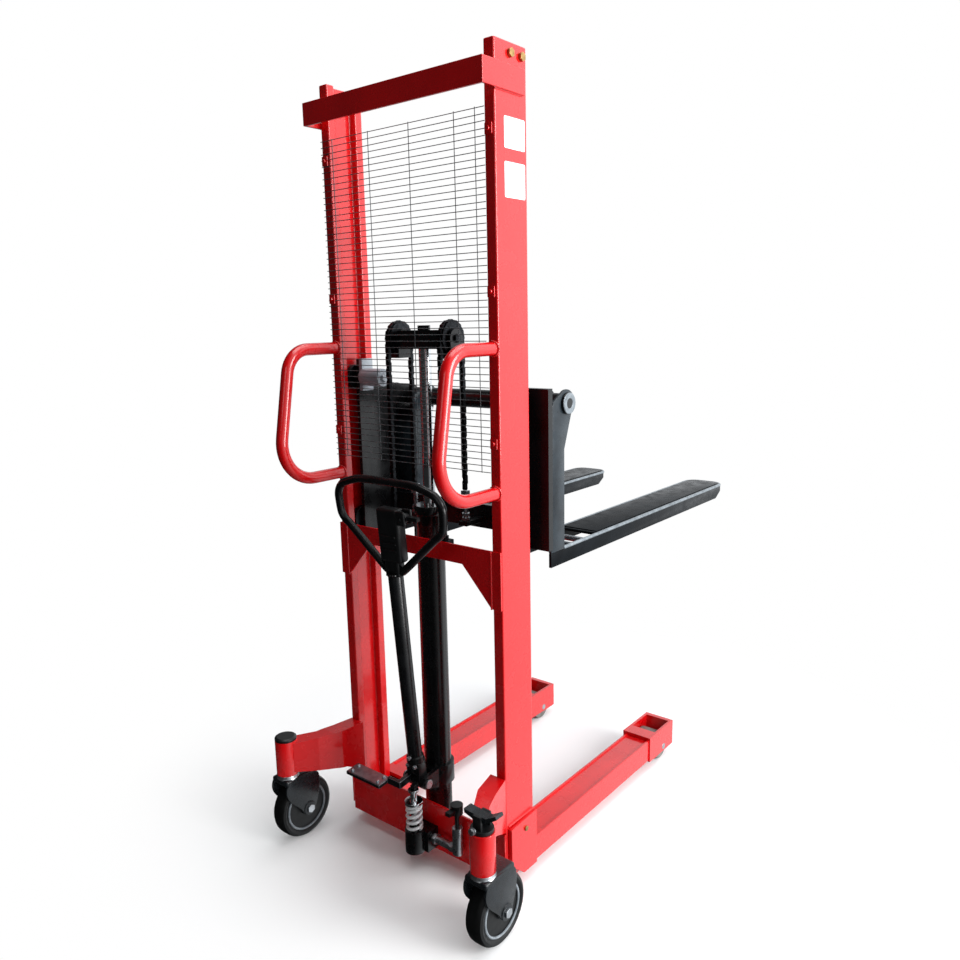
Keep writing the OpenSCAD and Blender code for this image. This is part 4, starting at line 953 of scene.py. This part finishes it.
both_sides(caster_wheel)
mount_low, mount_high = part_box("brake_mount")
nut_place = Vector((mm(354), mount_low.y + mm(1), mount_low.z + mm(9)))
nut_parts = [(part, zinc_plate) for part in hexagon_bolt(nut_place, "Y", 15, 7, 20, -1)]
smooth_piece("brake_mount_nut", nut_parts, "frame")
print("casters made; brake mount", [round(v, 3) for v in mount_high - mount_low])

# %% [markdown]
# ## Eyes of the fork bar
# Both forks hang on one thick bar that ends in a faced collar. The collar is bare turned steel with
# a deep bore. The bore is drawn as a black disc set just inside the face, painted shade for the
# dark of the hole, so from the side it is a pale ring round a black hole.

# %% Bar collars
bar_low, bar_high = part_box("fork_bar")
bar_centre = (bar_low + bar_high) / 2
collar_radius = (bar_high.z - bar_low.z) / 2 * 1000
for name, x, facing in (("left", bar_low.x, -1), ("right", bar_high.x, 1)):
    place = Vector((x, bar_centre.y, bar_centre.z))
    face = turned([
        (0, collar_radius - 0.5), (1.2 * facing, collar_radius - 2),
        (1.2 * facing, collar_radius * 0.5), (0.2 * facing, collar_radius * 0.46),
    ], place, "X", 40)
    # Painted shade: a black disc just inside the face stands in for the dark bore.
    bore_shade_disc = turned([
        (0.25 * facing, collar_radius * 0.47), (0.3 * facing, collar_radius * 0.44),
    ], place, "X", 40)
    parts = [(face, worn_steel), (bore_shade_disc, black_nylon)]
    smooth_piece(f"{name}_bar_collar_face", parts, "carriage", 30)
print("collar", round(mm(collar_radius) * 2, 3), "m across")

# %% [markdown]
# ## Forks
# Each fork is welded from 8 mm plate: two cheeks that hang from the bar and run out to the nose, a
# top plate, and a facing on the shank. Near the heel the top is open, and two cross bars tie the
# cheeks. The blade's shoulders are round, and pallets have rubbed them down to bare steel, so they
# are the bright lines of the blade. They are drawn as a round bar half sunk in the top plate's
# edge.

# %% Fork sizes
blade_top, blade_low, blade_in, blade_out, fork_end = 890, 845, 170, 306, 1286
bar_from_mast, bar_height, eye_radius, nose_round = 256, 1265, 35.5, 44
cheek_t, cheek_top, nose_low, nose_slope, nose_back = 8, 884, 866, 72, 36
shank_t, shank_taper, shank_top = 62, 117, 28
open_heel, shoulder, shoulder_out = 170, 5.2, 0.8
cross_bars, cross_bar_radius = (48, 108), 8
fork_heel = (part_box("right_fork")[0].y - mast_back) * 1000
shank_face = fork_heel + shank_t
top_start = shank_face + open_heel


print("fork heel", round(fork_heel), "shank face", round(shank_face), "mm from the mast's back")

# %% Fork outlines


def nose_plan(margin, start):
    """The blade from above, inside a margin, with its round nose."""
    low_x, high_x, far = blade_in + margin, blade_out - margin, fork_end - margin
    bend = nose_round - margin
    return (
        [(low_x, start), (high_x, start)] + arc_points(high_x - bend, far - bend, bend, 0, 90, 8)
        + arc_points(low_x + bend, far - bend, bend, 90, 180, 8)
    )


blade_side = [
    (fork_heel, blade_low), (fork_end - nose_slope, blade_low), (fork_end - nose_back, nose_low),
    (fork_end - nose_back, cheek_top), (fork_heel, cheek_top),
]
shank_side = (
    [(fork_heel, cheek_top), (shank_face, cheek_top), (shank_face, bar_height - shank_taper),
     (bar_from_mast + 21, bar_height - shank_top)]
    + arc_points(bar_from_mast, bar_height, eye_radius, -50, 130, 12)
    + [(fork_heel + 12, bar_height + 6), (fork_heel, bar_height - 20)]
)
shank_facing = [
    (shank_face - 10, blade_top - 12), (shank_face - 2, blade_top - 12),
    (shank_face - 2, bar_height - 118), (bar_from_mast + 19, bar_height - 30),
    (bar_from_mast + 11, bar_height - 30), (shank_face - 10, bar_height - 116),
]
print("outline points:", len(blade_side), len(shank_side), len(shank_facing))

# %% Forks


def fork_piece(side, name):
    parts = []
    for x in (blade_in, blade_out - cheek_t):
        low_x = side * x - (cheek_t if side < 0 else 0)
        # The shank's cheeks and facing carry the paler enamel, which is painted sheen.
        for outline, material, more in (
            (blade_side, fork_enamel, 0), (shank_side, sheen_painted_shank_enamel, 0.5),
        ):
            place = Vector((mm(low_x - more), 0, 0))
            cheek = cut_plate(side_view(outline), cheek_t + 2 * more, place, "X", 1.6)
            parts.append((cheek, material))
    for margin, start, low, thick, edge in (
        (0, top_start, blade_top - 9, 8.6, 2), (12, top_start + 10, blade_top - 1, 3, 0.8),
    ):
        plan = [(mm(side * x), mast_back + mm(y)) for x, y in nose_plan(margin, start)]
        parts.append((cut_plate(plan, thick, Vector((0, 0, mm(low))), "Z", edge), fork_enamel))
    inset = shoulder - shoulder_out
    rim = nose_plan(inset, shank_face)[1:] + [(blade_in + inset, shank_face)]
    rim = [at_mast(side * x, y, blade_top - inset) for x, y in rim]
    parts.append((tube(rim, mm(shoulder), 12), worn_steel))
    for y in cross_bars:
        bar = [
            at_mast(side * x, shank_face + y, blade_top - 9) for x in (blade_in + 4, blade_out - 4)
        ]
        parts.append((tube(bar, mm(cross_bar_radius), 14), worn_steel))
    place = Vector((mm(blade_in + 2 if side > 0 else 2 - blade_out), 0, 0))
    facing = cut_plate(side_view(shank_facing), blade_out - blade_in - 4, place, "X", 1.2)
    parts.append((facing, sheen_painted_shank_enamel))
    piece = smooth_piece(f"{name}_welded_fork", parts, f"{name}_fork", 38)
    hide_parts(f"{name}_fork")


both_sides(fork_piece)
print("forks welded")

# %% [markdown]
# ## Labels
# The mast carries two stickers. Their print is left out: they are plain vinyl, a fraction of a
# millimetre thick, with rounded corners, pressed on the outside of the right channel.

# %% Labels
web_face, label_back, label_front, label_corner, label_t = 286, 33, 111, 4, 0.35


def label(name, z_low, z_high):
    outline = []
    low_y, high_y = label_back + label_corner, label_front - label_corner
    low_z, high_z = z_low + label_corner, z_high - label_corner
    for y, z, start in (
        (high_y, high_z, 0), (low_y, high_z, 90), (low_y, low_z, 180), (high_y, low_z, 270),
    ):
        outline += arc_points(y, z, label_corner, start, start + 90, 4)
    sticker = cut_plate(side_view(outline), label_t, Vector((mm(web_face), 0, 0)), "X")
    smooth_piece(name, [(sticker, blank_vinyl)], "frame")
    print(name, label_front - label_back, "x", z_high - z_low, "mm")


label("upper_label", 1855, 1923)
label("lower_label", 1749, 1827)

# %% [markdown]
# ## Welds on the mast
# The beams, shoes and arms are welded to the channels. Welds show as thin ropes under the paint.
# Each run is a distance from the middle, a start and an end as (y, z), and the size of its bead.

# %% Welds
weld_runs = [
    (web_face, (10, 190), (118, 190), 2.5), (257, (-6.5, 778), (-6.5, 925), 2.5),
    (web_face, (-7, 60), (-7, 170), 2.5), (web_face, (0, 1974), (102, 1974), 2),
]
weld_parts = [
    (weld_line(at_mast(side * x, *start), at_mast(side * x, *end), bead_mm), red_powder_coat)
    for side in (-1, 1) for x, start, end, bead_mm in weld_runs
]
smooth_piece("mast_welds", weld_parts, "frame")
print("weld lines:", len(weld_parts))

# %% [markdown]
# ## Floor, backdrop and light
# The picture is a studio cut-out on white, so the machine stands on a pale floor that keeps its
# soft shadow and fades into the white backdrop further out, so no horizon shows. The room itself is
# bright towards the front right and dim behind the left, because in the picture every side that
# faces +X is bleached to coral or slate while the backs stay a deep red. The light path tells rays
# apart: the camera sees plain white behind the machine, while reflections look through the floor to
# the room.

# %% Stage
floor_reach, fade_from, floor_drop = 1.4, 0.55, 0.2
floor_material, floor_tree, floor_shader = new_material("studio_floor", {
    "Base Color": linear("#f7f7f7"), "Roughness": 0.9, "Specular IOR Level": 0.1,
})
on_floor = add_node(floor_tree, "ShaderNodeTexCoord")
distance = add_node(
    floor_tree, "ShaderNodeVectorMath", {"operation": "LENGTH"}, {0: on_floor.outputs["Object"]}
)
fade = add_node(
    floor_tree, "ShaderNodeMapRange",
    {"From Min": fade_from, "From Max": floor_reach, "interpolation_type": "SMOOTHSTEP"},
    {"Value": distance.outputs["Value"]},
)
white = add_node(floor_tree, "ShaderNodeEmission", {"Color": (1, 1, 1, 1), "Strength": 1.0})
faded = add_node(floor_tree, "ShaderNodeMixShader", {}, {
    0: fade.outputs["Result"], 1: floor_shader.outputs[0], 2: white.outputs[0],
})
floor_rays = add_node(floor_tree, "ShaderNodeLightPath")
unseen = add_node(floor_tree, "ShaderNodeBsdfTransparent")
floor_end = add_node(floor_tree, "ShaderNodeMixShader", {}, {
    0: floor_rays.outputs["Is Glossy Ray"], 1: faded.outputs[0], 2: unseen.outputs[0],
})
sheet_end = next(n for n in floor_tree.nodes if n.type == "OUTPUT_MATERIAL")
floor_tree.links.new(floor_end.outputs[0], sheet_end.inputs["Surface"])
floor_tile = bmesh.new()
bmesh.ops.create_circle(floor_tile, cap_ends=True, segments=96, radius=floor_reach)
for v in floor_tile.verts:
    v.co.z -= mm(floor_drop)
floor = smooth_piece("studio_floor", [(floor_tile, floor_material)])
print("floor reaches", floor_reach, "m")

# %% Room
room_bright, room_dim, room_from, room_to = 1.7, 0.03, -0.35, 0.95
below_dim, below_from, below_to = 0.6, -0.4, 0.02
bright_side = Vector((0.62, 0.76, 0.1)).normalized()
world = bpy.data.worlds.new("white_studio")
bpy.context.scene.world = world
world.use_nodes = True
sky = world.node_tree
sky.nodes.clear()
rays = add_node(sky, "ShaderNodeLightPath")
seen = add_node(sky, "ShaderNodeBackground", {"Color": (1, 1, 1, 1), "Strength": 1.0})
looking = add_node(sky, "ShaderNodeTexCoord")
towards = add_node(
    sky, "ShaderNodeVectorMath", {"operation": "DOT_PRODUCT"}, {0: looking.outputs["Generated"]}
)
towards.inputs[1].default_value = bright_side
room = add_node(
    sky, "ShaderNodeMapRange",
    {"From Min": room_from, "From Max": room_to, "To Min": room_dim, "To Max": room_bright,
     "interpolation_type": "SMOOTHSTEP"},
    {"Value": towards.outputs["Value"]},
)
height = add_node(sky, "ShaderNodeSeparateXYZ", {}, {"Vector": looking.outputs["Generated"]})
above = add_node(
    sky, "ShaderNodeMapRange",
    {"From Min": below_from, "From Max": below_to, "To Min": below_dim, "To Max": 1.0},
    {"Value": height.outputs["Z"]},
)
level = add_node(sky, "ShaderNodeMath", {"operation": "MULTIPLY"}, {
    0: room.outputs["Result"], 1: above.outputs["Result"],
})
ambient = add_node(
    sky, "ShaderNodeBackground", {"Color": (0.94, 0.97, 1, 1)}, {"Strength": level.outputs[0]}
)
pick = add_node(sky, "ShaderNodeMixShader", {}, {
    0: rays.outputs["Is Camera Ray"], 1: ambient.outputs[0], 2: seen.outputs[0],
})
add_node(sky, "ShaderNodeOutputWorld", {}, {"Surface": pick.outputs[0]})
print("room from", room_dim, "to", room_bright)

# %% Lamps


def soft_lamp(name, place, target, size, power):
    lamp = bpy.data.lights.new(name, "AREA")
    lamp.shape = "RECTANGLE"
    lamp.size, lamp.size_y = size
    lamp.energy = power
    holder = bpy.data.objects.new(name, lamp)
    holder.location = place
    holder.rotation_euler = (Vector(target) - Vector(place)).to_track_quat("-Z", "Y").to_euler()
    bpy.context.scene.collection.objects.link(holder)


soft_lamp("right_softbox", (3.4, 0.2, 1.8), (0, -0.3, 0.95), (1.6, 2.6), 150)
soft_lamp("back_softbox", (1.2, -4.4, 2.6), (0, -0.4, 1.0), (1.6, 1.6), 10)
soft_lamp("overhead_softbox", (0.2, 0.0, 4.2), (0, 0, 0.6), (2.6, 2.6), 70)
print("lamps:", len(bpy.data.lights))
